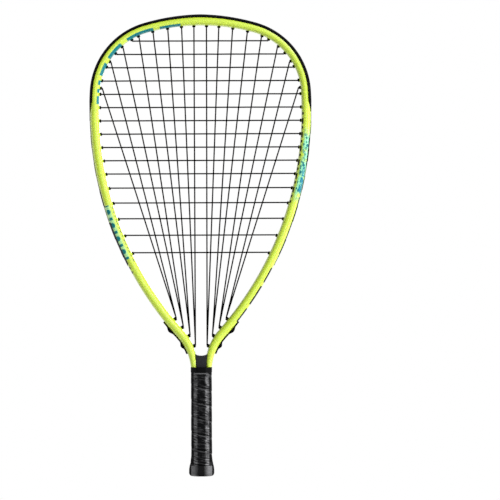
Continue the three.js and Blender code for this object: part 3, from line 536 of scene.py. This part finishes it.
def wrapped_leather(tree, place):
    """Black polyurethane grip tape, embossed with a leather grain of 1.3 mm and pulled into fine creases as
    it was wound, with soft, broken highlights painted grey on the handle's slanting faces."""
    stretched = (1 / CREASE_LENGTH, 1 / CREASE_WIDTH, 1.0)
    uv = add(tree, "Mapping", {"Vector": place["UV"], "Scale": stretched}).outputs[0]
    crease = add(tree, "TexNoise", {"Vector": uv, "Scale": 1.0, "Detail": 4.0, "Roughness": 0.6}).outputs[0]
    cells = add(tree, "TexVoronoi", sized(place, PORE_SIZE), feature="DISTANCE_TO_EDGE")
    pores = add(tree, "MapRange", {"Value": cells.outputs[0], "From Max": 0.25})
    relief = add(tree, "Mix", {"Factor": 0.45, 2: pores.outputs[0], 3: crease})
    bump = add(tree, "Bump", {"Height": relief.outputs[0], "Strength": 0.6, "Distance": 0.25 * MM})
    wear_and_sheen = add(tree, "TexNoise", sized(place, WEAR_AND_SHEEN_SIZE, Detail=3.0)).outputs[0]
    rough = add(tree, "MapRange", {
        "Value": wear_and_sheen, "From Min": 0.3, "From Max": 0.7, "To Min": 0.36, "To Max": 0.62,
    })
    # Painted highlight: a faint grey on the creases' high points
    crease_highlight = add(tree, "MapRange", {"Value": crease, "From Min": 0.52, "From Max": 0.62, "To Max": 0.3})
    shade = tint(tree, linear(TAPE_BLACK), wear_and_sheen, TAPE_GREY)
    shade = tint(tree, shade, crease_highlight.outputs[0], CREASE_HIGHLIGHT_GREY)
    # The painted highlight lies grey on the creases' crowns and is broken up by the folds between them
    crowns = add(tree, "MapRange", {"Value": crease, "From Min": 0.36, "From Max": 0.6}).outputs[0]
    patches = add(tree, "MapRange", {"Value": wear_and_sheen, "From Min": 0.35, "From Max": 0.6, "To Min": 0.35})
    grey = highlight_band_mask(tree, place, crease, *TAPE_HIGHLIGHT_BAND)
    painted_bevel_highlight = reckon(tree, "MULTIPLY", grey, crowns, patches.outputs[0])
    shade = tint(tree, shade, painted_bevel_highlight, BEVEL_HIGHLIGHT_GREY)
    # Painted highlight where the tape under a lap's edge turns up to the light, painted shade in the step
    up = add(tree, "SeparateXYZ", {0: place["UV"]}).outputs[1]
    lit = reckon(tree, "MULTIPLY", window(tree, up, *LIT_STRIP), crowns, 0.6)
    shade = tint(tree, shade, lit, LIT_GREY)
    lap_shade = reckon(tree, "MAXIMUM", *[window(tree, up, *strip) for strip in LAP_SHADE_STRIPS])
    shade = tint(tree, shade, reckon(tree, "MULTIPLY", lap_shade, 0.75), LAP_SHADE_BLACK)
    # A pale highlight painted along the tape's top edge under the collar, on the flat front and back
    spot = add(tree, "SeparateXYZ", {0: place["Object"]}).outputs
    height, aside = (reckon(tree, "MULTIPLY", value, 1 / MM) for value in (spot[2], spot[0]))
    top = window(tree, height, GRIP_TOP - CUT_HEIGHT, GRIP_TOP, 0.3)
    edge_highlight = reckon(tree, "MULTIPLY", top, window(tree, aside, -CUT_REACH, CUT_REACH, 1.5), 0.7)
    shade = tint(tree, shade, edge_highlight, EDGE_HIGHLIGHT_GREY)
    return {
        "Base Color": shade,
        "Roughness": rough.outputs[0],
        "Specular IOR Level": reckon(tree, "MULTIPLY", reckon(tree, "ADD", painted_bevel_highlight, 0.15), 0.04),
        "Normal": bump.outputs[0],
    }


LACQUER = finish_material("lime_enamel_clear_coated", lime_lacquer)
LEATHER = finish_material("black_wound_grip_tape", wrapped_leather)

# The moulds of the pieces below have a grain of about 0.1 mm. That is too fine to show, so it is drawn 0.5 to
# 0.8 mm coarse. The strings' ripple from the die is as fine and drawn 1.1 mm long.

# Nylon 6 moulded thin for the guard and the strips: an even black that hardly mirrors the white round it
GUARD_NYLON = finish_material(
    "black_moulded_nylon", grained("#040404", roughness=0.55, gloss=0.025, grain=0.5, depth=0.02)
)
# Nylon 6 drawn to a single thread: the deepest black of the racket, with a slight ripple from the die
STRING_NYLON = finish_material(
    "black_nylon_monofilament", grained("#020202", roughness=0.5, gloss=0.015, grain=1.1, depth=0.01)
)
# Nylon with short glass fibres, which come to the surface and leave a dusty charcoal sheen
BRIDGE_NYLON = finish_material(
    "charcoal_glass_filled_nylon", grained("#1f1f23", roughness=0.58, gloss=0.12, grain=0.6, depth=0.04)
)
# ABS as it comes from the mould: plain grey and half dull. It lies inside the handle.
CORE_ABS = finish_material(
    "grey_abs_core", grained("#3a3a3c", roughness=0.6, gloss=0.4, grain=0.8, depth=0.03)
)
# Moulded synthetic rubber, stretched over the tape's end: black and dull, without dust
COLLAR_RUBBER = finish_material(
    "black_rubber_collar", grained("#060607", roughness=0.55, gloss=0.03, grain=0.7, depth=0.02)
)
# The same rubber, off-black, with a grey painted highlight and more shine on its slanting faces
BUTT_RUBBER = finish_material(
    "black_moulded_rubber_butt",
    grained("#19191a", roughness=0.5, gloss=0.14, grain=0.7, depth=0.04, wear_and_sheen="#626264"),
)


# Frame

def frame_section(place):
    """Half of the tube's section: the groove's bottom corner, the groove's edge, and the oval from there
    round to the middle of the inner face by equal angles."""
    angle = lerp(groove_angle(place), math.pi, np.linspace(0, 1, TUBE_SECTION_STEPS + 1)[None, :])
    u, v = oval(place, angle)
    corner_u = place.outer - place.groove
    corner_v = np.full_like(corner_u, GROOVE_WIDTH / 2)
    return np.concatenate([corner_u, u], 1), np.concatenate([corner_v, v], 1)


def frame_skin():
    """The tube's points, its section carried along the line, and its own coordinates in mm: the length along
    the line, and the length round the section from the groove's edge, with the groove's bottom at -1."""
    place = Place(stations(-TUBE_END, TUBE_END, TUBE_STEP))
    half_u, half_v = frame_section(place)
    steps = np.hypot(np.diff(half_u[:, 1:], axis=1), np.diff(half_v[:, 1:], axis=1))
    edge = np.zeros_like(place.s)
    across = both_ways(np.concatenate([edge - 1, edge, steps.cumsum(1)], 1), shared=1)
    uv = np.stack(np.broadcast_arrays(place.s, across), -1)
    points = place.spot(both_ways(half_u, shared=1), both_ways(half_v, -1, shared=1))
    return points, uv.reshape(-1, 2)


frame_points, frame_uv = frame_skin()
piece("lacquered_frame", [grid(frame_points)], LACQUER, "frame_tube", uvs=frame_uv)


# String holes

def lead(s, v=0.0):
    """Where a string leaves the frame: a short way inward from the tip of the barrel at s."""
    place = Place(s)
    return place.spot(-(place.tip + STRING_LEAD), v)


def station_at_height(height, start, end):
    """The length along the right half where a string that leaves the frame has a height, by halving."""
    low, high = np.full(np.shape(height), start), np.full(np.shape(height), end)
    for _ in range(HALVINGS):
        middle = (low + high) / 2
        above = lead(middle)[..., 2] > height
        low, high = np.where(above, middle, low), np.where(above, high, middle)
    return (low + high) / 2


# The holes, the crosses' from the crown down, the mains' and the throat's from the middle out and up
CROSS_INDEX = np.arange(CROSS_COUNT)
CROSS_DROPS = CROSS_PITCH + CROSS_SPREAD * np.maximum(0, CROSS_INDEX + 2 - EVEN_CROSSES)
CROSS_Z = JOINT_Z[0] - TUBE_WIDTH / 2 - FIRST_CROSS_DROP - np.concatenate([[0], CROSS_DROPS.cumsum()[:-1]])
CROSS_S = station_at_height(CROSS_Z, 0.0, FLANK_END)
MAIN_S = MAIN_SHARES * SHOULDER_END
THROAT_Z = HANDLE_TOP + THROAT_LIFT + THROAT_SPAN * THROAT_SHARES
THROAT_S = station_at_height(THROAT_Z, SHOULDER_END, THROAT_END)
GUARD_END = SHOULDER_END + GUARD_TAIL
GUARD_CROSSES = CROSS_S[CROSS_S < GUARD_END]
STRIP_CROSSES = CROSS_S[CROSS_S >= GUARD_END]


def barrels(s, paired=False, sides=20):
    """A barrel at each length s: a ring section with a rounded mouth, carried round the hole's axis. Those
    that two strings share are wider through the tube's depth by the strings' offset and reach further in."""
    outside = BARREL_RADIUS + (PAIR_GROWTH if paired else 0.0)
    wide, further = (PAIR_OFFSET, PAIR_REACH) if paired else (0.0, 0.0)
    radius = np.concatenate([outside - BARREL_OUTSIDE[:, 0], BORE_RADIUS + BARREL_BORE[:, 0]])[None, :]
    back = np.concatenate([BARREL_OUTSIDE[:, 1], BARREL_BORE[:, 1]])[None, :]
    turn = (2 * np.pi * np.arange(sides) / sides)[:, None]
    v, w = (radius + wide) * np.sin(turn), radius * np.cos(turn)
    made = []
    for place in (Place(value) for value in s):
        made.append(grid(place.spot(back - place.tip - further, v, w), ring=True))
    return made


# Guard and strips

def guard_section(place):
    """Half of the crown guard's section: the channel's floor and wall, the ridge beside it, a skin that laps
    over the tube's front to a lip, back under the skin along the tube, and the seat in the groove."""
    away = np.abs(place.s)
    full = ramp(GUARD_END - away, 0, GUARD_TAPER)
    beside = ramp(away, 0, CROWN_END)
    crest = place.outer + lerp(GUARD_END_RISE, lerp(GUARD_RISE, GUARD_SIDE_RISE, beside), full)
    half_width = (place.outer + place.inner) / 2
    shown = half_width - lerp(GUARD_LIP, GUARD_SIDE_LIP, beside)
    first = groove_angle(place)
    lip = np.arccos((shown / (half_width + GAP + GUARD_SKIN / 2)) ** (OVAL_POWER / 2))
    last = lerp(first + GUARD_END_LAP, lip, full)
    skin = lerp(GUARD_END_RISE, GUARD_SKIN, full)
    share = np.linspace(SKIN_START, 1, SKIN_STEPS)[None, :]
    out_u, out_v = oval(place, lerp(first, last, share), GAP + skin * lerp(*SKIN_THINNING, share))
    in_u, in_v = oval(place, lerp(first, last, share[:, ::-1]), GAP)
    wall = np.full_like(crest, CHANNEL_WIDTH / 2)
    seat = np.full_like(crest, GROOVE_WIDTH / 2 - GAP)
    top = place.outer + GAP
    u = [place.floor_top, crest, crest, out_u, in_u, top, top, place.floor_under]
    v = [wall, wall, wall + GUARD_RIDGE, out_v, in_v, seat + GAP * 2, seat, seat]
    return np.concatenate(u, 1), np.concatenate(v, 1)


def saddle(s):
    """How far a throat strip's outside rises: a sine squared hump between holes 1 and 2, and 3 and 4."""
    rise = np.zeros_like(s)
    for low, high in (THROAT_S[:2], THROAT_S[2:]):
        rise += SADDLE_RISE * np.sin(np.pi * ramp(np.abs(s), high, low)) ** 2
    return rise


def rail_section(rise):
    """Half of a strip's section, as a function of the place: a channel in the groove with rails beside it
    that rise a little over the tube, both lifted by the saddles."""

    def section(place):
        lift = saddle(place.s)
        rail = place.outer + rise + lift
        wall = np.full_like(rail, CHANNEL_WIDTH / 2)
        seat = np.full_like(rail, GROOVE_WIDTH / 2 - GAP)
        u = [place.floor_top + lift, rail, rail, place.floor_under]
        return np.concatenate(u, 1), np.concatenate([wall, wall, seat, seat], 1)

    return section


def strip(start, end, section, pitch=STRIP_STEP):
    """A section and its mirror image, carried along the frame's line."""
    place = Place(stations(start, end, pitch))
    half_u, half_v = section(place)
    return grid(place.spot(both_ways(half_u), both_ways(half_v, -1)))


guard_holes = np.concatenate([-GUARD_CROSSES[::-1], -MAIN_S[::-1], MAIN_S, GUARD_CROSSES])
piece(
    "crown_bumper_guard",
    [strip(-GUARD_END, GUARD_END, guard_section)] + barrels(guard_holes),
    GUARD_NYLON, "bumper_guard", bevel=GUARD_EDGE,
)
SIDE_FROM, SIDE_TO = GUARD_END + GAP * 2, STRIP_CROSSES[-1] + SIDE_MARGIN
THROAT_FROM, THROAT_TO = THROAT_S[-1] - THROAT_MARGIN, THROAT_S[0] + THROAT_MARGIN
for side, sign in (("left", -1), ("right", 1)):
    piece(
        "side_strip_" + side,
        [strip(sign * SIDE_FROM, sign * SIDE_TO, rail_section(SIDE_RAIL_RISE))]
        + barrels(sign * STRIP_CROSSES),
        GUARD_NYLON, "grommet_strip_" + side, bevel=STRIP_EDGE,
    )
    piece(
        "throat_saddle_strip_" + side,
        [strip(sign * THROAT_FROM, sign * THROAT_TO, rail_section(THROAT_RAIL_RISE), SADDLE_STEP)]
        + barrels(sign * THROAT_S, paired=True),
        GUARD_NYLON, "throat_strip_" + side, bevel=STRIP_EDGE,
    )


# Strings

WEAVE = STRING_RADIUS + WEAVE_GAP / 2
SIDE_COUNT = len(MAIN_SHARES)  # the mains on one side of the middle
MAIN_COUNT = 2 * SIDE_COUNT
# The cord takes the mains four at a time: down the first, up the third, down the second and up the fourth.
# So it crosses the saddle between their two throat holes twice.
MAIN_ORDER = [4 * (i // 4) + (0, 2, 1, 3)[i % 4] for i in range(MAIN_COUNT)]


def weave_side(main, cross):
    """-WEAVE where the main lies in front of the cross and +WEAVE where it lies behind, by turns."""
    return np.where((main + cross) % 2 == 0, -WEAVE, WEAVE)


def hang_mains():
    """The mains from left to right: where their holes lie on the frame's line, their lane in the shared
    hole, where they meet each cross, and their run down, straight from the front and woven in depth."""
    mains = []
    for main in range(MAIN_COUNT):
        sign = 1 if main >= SIDE_COUNT else -1
        rank = main - SIDE_COUNT if sign > 0 else SIDE_COUNT - 1 - main
        top_s, bottom_s = sign * MAIN_S[rank], sign * THROAT_S[rank // 2]
        lane = float(np.sign(weave_side(main, CROSS_COUNT - 1))) * PAIR_OFFSET
        high, low = lead(top_s), lead(bottom_s, lane)
        crosses = CROSS_INDEX[CROSS_Z < high[2]]
        x = lerp(high[0], low[0], (high[2] - CROSS_Z[crosses]) / (high[2] - low[2]))
        run = np.stack([x, weave_side(main, crosses), CROSS_Z[crosses]], -1)
        mains.append({
            "top": top_s, "bottom": bottom_s, "lane": lane, "meets": dict(zip(crosses.tolist(), x)),
            "run": np.concatenate([high[None], run, low[None]]),
        })
    return mains


def outside(start, end, start_y, lane, rise=0.0):
    """From one barrel's mouth up into the channel, along it in a lane, over a sine squared hump of a rise,
    and down into the next mouth."""
    step = math.copysign(STRING_BEND, end - start)
    share = np.linspace(0, 1, 9)[1:-1] if rise or lane else np.array([0.5])
    s = np.concatenate([[start, start + step], lerp(start, end, share), [end - step, end]])
    lift = np.concatenate([[0, 0], rise * np.sin(np.pi * share) ** 2, [0, 0]])
    place = Place(s)
    u = place.ride + lift
    u[[0, -1]] = place.floor_top[[0, -1]]
    v = np.full(len(s), lane)
    v[[0, -1]] = start_y
    return place.spot(u, v)


def tail(s, direction, lane):
    """The cord's end: a short way along the channel, out of its lane and down the hole."""
    place = Place(np.array([s + direction * TAIL, s + direction * STRING_BEND, s]))
    u = np.array([place.ride[0], place.ride[1], place.floor_top[2]])
    return place.spot(u, np.array([lane, lane, 0.0]))


def main_route(mains):
    """One cord down and up through all mains, round outside the frame between them."""
    route = [tail(mains[0]["top"], -1, -LANE)]
    for turn, index in enumerate(MAIN_ORDER):
        here, down = mains[index], turn % 2 == 0
        route.append(here["run"] if down else here["run"][::-1])
        if turn + 1 < MAIN_COUNT:
            after, lane = mains[MAIN_ORDER[turn + 1]], here["lane"]
            if down:
                route.append(outside(here["bottom"], after["bottom"], lane, lane, SADDLE_RISE))
            else:
                route.append(outside(here["top"], after["top"], 0.0, -LANE))
    route.append(tail(mains[-1]["top"], 1, -LANE)[::-1])
    return np.concatenate(route)


def cross_route(mains):
    """One cord to the right and to the left by turns, from the crown down, over and under the mains. Where
    the mains' ends lie in the channel, it keeps to a lane beside them."""
    route = [tail(-CROSS_S[0], -1, LANE)]
    for cross in range(CROSS_COUNT):
        sign = 1 if cross % 2 == 0 else -1
        met = [(main, here["meets"][cross]) for main, here in enumerate(mains) if cross in here["meets"]]
        number, x = np.array(met).T
        y = -weave_side(number.astype(int), cross)
        over = np.stack([x, y, np.full(len(x), CROSS_Z[cross])], -1)[::sign]
        route += [lead(-sign * CROSS_S[cross])[None], over, lead(sign * CROSS_S[cross])[None]]
        if cross + 1 < CROSS_COUNT:
            lane = 0.0 if CROSS_S[cross] > MAIN_S[-1] else LANE
            route.append(outside(sign * CROSS_S[cross], sign * CROSS_S[cross + 1], 0.0, lane))
    route.append(tail(-CROSS_S[-1], 1, 0.0)[::-1])
    return np.concatenate(route)


def flowing(points, bend=1.6, most=0.3, parts=4):
    """A smooth path through the points. Each stretch between two of them first gets a point near either
    end, at most bend away and at most a share most of its length, and stays straight between those two.
    Then every step between two points is a cubic whose slopes at both are the neighbours' slopes weighted
    by the other's length."""
    gap = np.linalg.norm(np.diff(points, axis=0), axis=1)[:, None]
    near = np.minimum(bend / gap, most)
    firsts, lasts = points[:-1] * (1 - near) + points[1:] * near, points[:-1] * near + points[1:] * (1 - near)
    points = np.concatenate([np.stack([points[:-1], firsts, lasts], 1).reshape(-1, 3), points[-1:]])
    gap = np.linalg.norm(np.diff(points, axis=0), axis=1)[:, None]
    slope = np.diff(points, axis=0) / gap
    inner = (slope[:-1] * gap[1:] + slope[1:] * gap[:-1]) / (gap[1:] + gap[:-1])
    tangent = np.concatenate([slope[:1], inner, slope[-1:]])
    t = (np.arange(parts) / parts)[None, :, None]
    a, b = points[:-1, None], points[1:, None]
    from_a, to_b, h = tangent[:-1, None], tangent[1:, None], gap[:, None]
    path = (
        (2 * t**3 - 3 * t**2 + 1) * a + (t**3 - 2 * t**2 + t) * h * from_a
        + (3 * t**2 - 2 * t**3) * b + (t**3 - t**2) * h * to_b
    ).reshape(-1, 3)
    return np.concatenate([path, points[-1:]])


def cord(path, radius, sides=10):
    """A round tube along the path: rings square to it, each with its first point towards the back."""
    along = np.gradient(path, axis=0)
    along /= np.linalg.norm(along, axis=1, keepdims=True)
    side = np.array([0.0, 1.0, 0.0]) - along[:, 1:2] * along
    side /= np.linalg.norm(side, axis=1, keepdims=True)
    other = np.cross(along, side)
    turn = 2 * np.pi * np.arange(sides) / sides
    ring = side[:, None] * np.cos(turn)[None, :, None] + other[:, None] * np.sin(turn)[None, :, None]
    return grid(path[:, None] + radius * ring)


hung = hang_mains()
for name, route, node in (
    ("woven_main_string", main_route(hung), "main_string"),
    ("woven_cross_string", cross_route(hung), "cross_string"),
):
    piece(name, [cord(flowing(route), STRING_RADIUS)], STRING_NYLON, node)


# Handle

def octagon(grow, rounding=GRIP_ROUNDING, arc_steps=8):
    """The grip's outline, grown: eight sides whose corners are quadratic curves that touch both sides where
    an arc would, which is the arc's radius times the tangent of half its turn away from the corner. grow is
    an array, and so is the result: one outline a row, from the front's right corner on."""
    grow = np.reshape(np.asarray(grow, float), (-1, 1))
    x, y = GRIP_WIDTH / 2 + grow, GRIP_DEPTH / 2 + grow
    bevel = GRIP_BEVEL + grow * (2 - math.sqrt(2))
    across = np.concatenate([x - bevel, x, x, x - bevel], 1)
    deep = np.concatenate([-y, bevel - y, y - bevel, y], 1)
    half = np.stack([across, deep], -1)
    corners = np.concatenate([half, -half], 1)
    before, after = np.roll(corners, 1, 1) - corners, np.roll(corners, -1, 1) - corners
    before /= np.linalg.norm(before, axis=2, keepdims=True)
    after /= np.linalg.norm(after, axis=2, keepdims=True)
    radii = np.array(rounding)[[0, 1, 1, 0, 0, 1, 1, 0]]
    reach = (radii * math.tan(math.radians(22.5)))[None, :, None]
    t = np.linspace(0, 1, arc_steps)[None, None, :, None]
    start, middle, end = ((corners + way * reach)[:, :, None] for way in (before, 0, after))
    arc = (1 - t) ** 2 * start + 2 * t * (1 - t) * middle + t**2 * end
    return arc.reshape(arc.shape[0], -1, 2)


def flare(z):
    """How far the handle grows towards its butt: the whole flare below FLARE_LOW, none above FLARE_TOP."""
    return CAP_FLARE * (1 - smooth(z, FLARE_LOW, FLARE_TOP))


def skin_through(levels, circle=0.0, rounding=GRIP_ROUNDING):
    """A closed skin through outlines at levels of (height, growth, roundness). Roundness 1 makes the
    outline a circle of radius circle, and what lies between mixes the two."""
    z, grow, roundness = np.array(levels).T
    outline = octagon(grow, rounding)
    turn = np.arctan2(outline[..., 1], outline[..., 0])
    disc = circle * np.stack([np.cos(turn), np.sin(turn)], -1)
    flat = lerp(outline, disc, roundness[:, None, None])
    height = np.broadcast_to(z[:, None, None], flat.shape[:2] + (1,))
    return grid(np.concatenate([flat, height], 2), ring=True)


def wound_tape():
    """One ribbon along a helix that falls to the right across the front. Its section starts at the lap's
    rounded edge, runs down under the next lap and comes back along the core. Its outline at each step round
    the handle is the octagon's, and every turn is one pitch up. Its face has a slanting wave and a ripple.
    Returns the points, and for each the lengths in mm along the tape and across it."""
    outline = octagon([0.0])[0][::-1]
    middle = np.roll(outline, -1, 0) - np.roll(outline, 1, 0)
    normal = np.stack([-middle[:, 1], middle[:, 0]], -1)
    normal /= np.linalg.norm(normal, axis=1, keepdims=True)
    length = np.linalg.norm(np.roll(outline, -1, 0) - outline, axis=1)
    share = np.concatenate([[0], length.cumsum()])[:-1] / length.sum()
    turns = math.ceil((GRIP_TOP - TAPE_START) / LAP_PITCH)
    step = np.arange(turns * len(outline))
    j = step % len(outline)
    rise = (LAP_PITCH * (step // len(outline) + share[j]))[:, None]
    height = TAPE_START + rise + LAP_PITCH * TAPE_ACROSS
    held = np.clip(height, GRIP_END, GRIP_TOP)
    wave = WAVE_HEIGHT * np.sin(rise * WAVE_TURN + WAVE_SLANT * TAPE_ACROSS)
    ripple = RIPPLE_HEIGHT * np.sin(rise * RIPPLE_TURN)
    out = TAPE_OUT + np.where(TAPE_OUT > TAPE_FACE, wave + ripple, 0.0) + flare(held)
    xy = outline[j][:, None] + normal[j][:, None] * out[..., None]
    # Past the grip's ends the ribbon is cut square: it is pressed to a thin skin under the butt and collar
    z = lerp(held, height, TAPE_PRESS)
    uv = np.stack(np.broadcast_arrays(rise * GRIP_GIRTH / LAP_PITCH, LAP_PITCH * TAPE_ACROSS), -1)
    return np.concatenate([xy, z[..., None]], 2), uv.reshape(-1, 2)


def collar_levels():
    """A ring round the tape's end with rounded outer edges, from its inside below to its inside above."""
    low, high = HANDLE_TOP - COLLAR_LENGTH, HANDLE_TOP + COLLAR_LIFT
    edge = [(COLLAR_EDGE * up, COLLAR_RISE - COLLAR_EDGE * back) for up, back in ((0, 1), (0.3, 0.3), (1, 0))]
    lower = [(low + up, grow, 0) for up, grow in edge]
    upper = [(high - up, grow, 0) for up, grow in edge[::-1]]
    inside = GAP - CORE_INSET
    return [(low, inside, 0)] + lower + upper + [(high, inside, 0)]


def butt_levels():
    """From the cord's hole out over the end, round a quarter circle and up the flare to the ledge where the
    tape ends, then up the skirt under the tape, down the core and over the floor to the hole again."""
    ledge = GRIP_END - GAP
    under = -GRIP_THICKNESS - GAP
    turns = np.radians(np.linspace(0, 90, CAP_EDGE_STEPS))
    hole = [(CAP_FLOOR, 0, 1), (HOLE_EDGE, 0, 1), (0.0, 0, HOLE_ROUNDNESS)]
    foot = [(CAP_EDGE * (1 - math.cos(a)), CAP_FLARE - CAP_EDGE * (1 - math.sin(a)), 0) for a in turns]
    body = [(z, flare(z), 0) for z in np.linspace(FLARE_LOW, ledge - LEDGE_EDGE, 6)]
    top = flare(ledge)
    lip = [(ledge - LEDGE_EDGE * 0.2, top - LEDGE_EDGE * 0.3, 0), (ledge, top - LEDGE_EDGE, 0)]
    skirt = [(z, flare(z) + under, 0) for z in (ledge, CAP_SKIRT_TOP)]
    core = [(z, GAP - CORE_INSET, 0) for z in (CAP_SKIRT_TOP, CAP_FLOOR)]
    return hole + foot + body + lip + skirt + core


tape_points, tape_uv = wound_tape()
piece("wound_grip_tape", [grid(tape_points)], LEATHER, "grip", crease=60, uvs=tape_uv)
piece(
    "rubber_collar", [skin_through(collar_levels())], COLLAR_RUBBER, "grip_collar", crease=50
)
piece(
    "flared_butt", [skin_through(butt_levels(), TETHER_HOLE / 2, BUTT_ROUNDING)],
    BUTT_RUBBER, "butt_cap", crease=50,
)


def refinish(mesh, material):
    """Gives a mesh of the CAD model a material of its own."""
    mesh.materials.clear()
    mesh.materials.append(material)
    return mesh


# The bridge keeps its solid's shape, with every edge rounded as a moulding's is.
bridge_mesh = refinish(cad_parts["throat_bridge"].data.copy(), BRIDGE_NYLON)
bridge = in_scene("rounded_throat_bridge", bridge_mesh)
weld = bridge.modifiers.new("weld", "WELD")
weld.merge_threshold = BRIDGE_WELD * MM
remesh = bridge.modifiers.new("even_faces", "REMESH")
remesh.mode, remesh.voxel_size, remesh.use_smooth_shade = "VOXEL", BRIDGE_VOXEL * MM, True
soften = bridge.modifiers.new("soften", "SMOOTH")
soften.factor, soften.iterations = 0.5, 4
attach(bridge, "root")
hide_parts("throat_bridge")

for name in ("handle_shell_front", "handle_shell_back"):
    refinish(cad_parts[name].data, CORE_ABS)


# Floor, lights and camera, in metres and watts
FLOOR_SIZE, FLOOR_HEIGHT, FLOOR_GLOW = 10.0, -0.35, 0.76
ROOM_LIGHT = 0.08
WHITE, PAPER_WHITE = "#ffffff", "#ededed"
# The lights: name, place, the point that it faces, width and height, and power
SOFTBOXES = [
    ("key_right", (1.4, -1.8, 2.0), (0, 0, 0.35), (1.2, 1.2), 60),
    ("front_soft", (0.5, -2.7, 0.5), (0, 0, 0.3), (0.8, 1.8), 20),
    ("strip_right", (1.75, -0.3, 0.25), (0, 0, 0.25), (0.5, 1.8), 32),
    ("strip_left", (-1.7, 0.5, 0.6), (0, 0, 0.25), (0.5, 1.6), 8),
    ("back_fill", (0.7, 2.6, 1.1), (0, 0, 0.3), (1.4, 1.4), 34),
]


def shown(tree):
    """1 for the rays that see the background straight, in a reflection or through something clear."""
    path = add(tree, "LightPath").outputs
    return reckon(tree, "MAXIMUM", path["Is Camera Ray"], path["Is Glossy Ray"], path["Is Transmission Ray"])


def seamless_paper():
    """White paper from a roll: dead matt, so it takes a soft shadow and mirrors nothing. It glows for the
    rays by which it is seen, so that it comes out as white as the photo's ground and lights nothing."""
    paper = bpy.data.materials.new("pale_floor_paper")
    tree = empty_tree(paper)
    matt = add(tree, "BsdfDiffuse", {"Color": linear(PAPER_WHITE)}).outputs[0]
    glow = add(tree, "Emission", {"Color": linear(WHITE), "Strength": FLOOR_GLOW}).outputs[0]
    lit = add(tree, "AddShader", {0: matt, 1: glow}).outputs[0]
    mixed = add(tree, "MixShader", {0: shown(tree), 1: matt, 2: lit})
    add(tree, "OutputMaterial", {"Surface": mixed.outputs[0]})
    return paper


def softbox(name, place, aim, size, power):
    """A flat area light at a place, turned to face the point aim."""
    lamp = bpy.data.lights.new(name, "AREA")
    lamp.shape, lamp.size, lamp.size_y, lamp.energy = "RECTANGLE", size[0], size[1], power
    made = in_scene(name, lamp)
    made.location = place
    away = np.array(place) - np.array(aim)
    pitch = math.acos(away[2] / np.linalg.norm(away))
    made.rotation_euler = (pitch, 0.0, math.atan2(away[1], away[0]) + math.pi / 2)


bpy.ops.mesh.primitive_plane_add(size=FLOOR_SIZE, location=(0, 0, FLOOR_HEIGHT))
floor = bpy.context.object
floor.name = "pale_floor"
floor.data.materials.append(seamless_paper())

# The world is white for the rays by which it is seen, and gives a faint even light
world = bpy.data.worlds.new("studio")
bpy.context.scene.world = world
sky = empty_tree(world)
seen = add(sky, "Background", {"Color": linear(WHITE), "Strength": 1.0}).outputs[0]
room = add(sky, "Background", {"Color": linear(WHITE), "Strength": ROOM_LIGHT}).outputs[0]
mixed = add(sky, "MixShader", {0: shown(sky), 1: room, 2: seen})
add(sky, "OutputWorld", {"Surface": mixed.outputs[0]})

for row in SOFTBOXES:
    softbox(*row)

# The photo is 500 pixels wide and high. In it the racket leans by a fifth of a degree, and the lens looks
# at a point that puts the butt's middle 200.95 pixels from the left and its end 475.8 from the top.
PHOTO_PIXELS, PIXEL = 500, 1.2108 * MM
BUTT_PIXEL = (200.95, 475.8)
LEAN = math.radians(0.2)
lens = bpy.data.cameras.new("long_lens")
lens.lens, lens.sensor_width = 300.0, 36.0
lens.clip_start, lens.clip_end = 0.1, 50.0
camera = in_scene("camera", lens)
aside, above = PHOTO_PIXELS / 2 - BUTT_PIXEL[0], BUTT_PIXEL[1] - PHOTO_PIXELS / 2
distance = PHOTO_PIXELS * PIXEL * lens.lens / lens.sensor_width
camera.location = (aside * PIXEL, -distance, above * PIXEL)
camera.rotation_euler = (math.pi / 2, LEAN, 0.0)
bpy.context.scene.camera = camera
bpy.context.scene.view_settings.view_transform = "Standard"
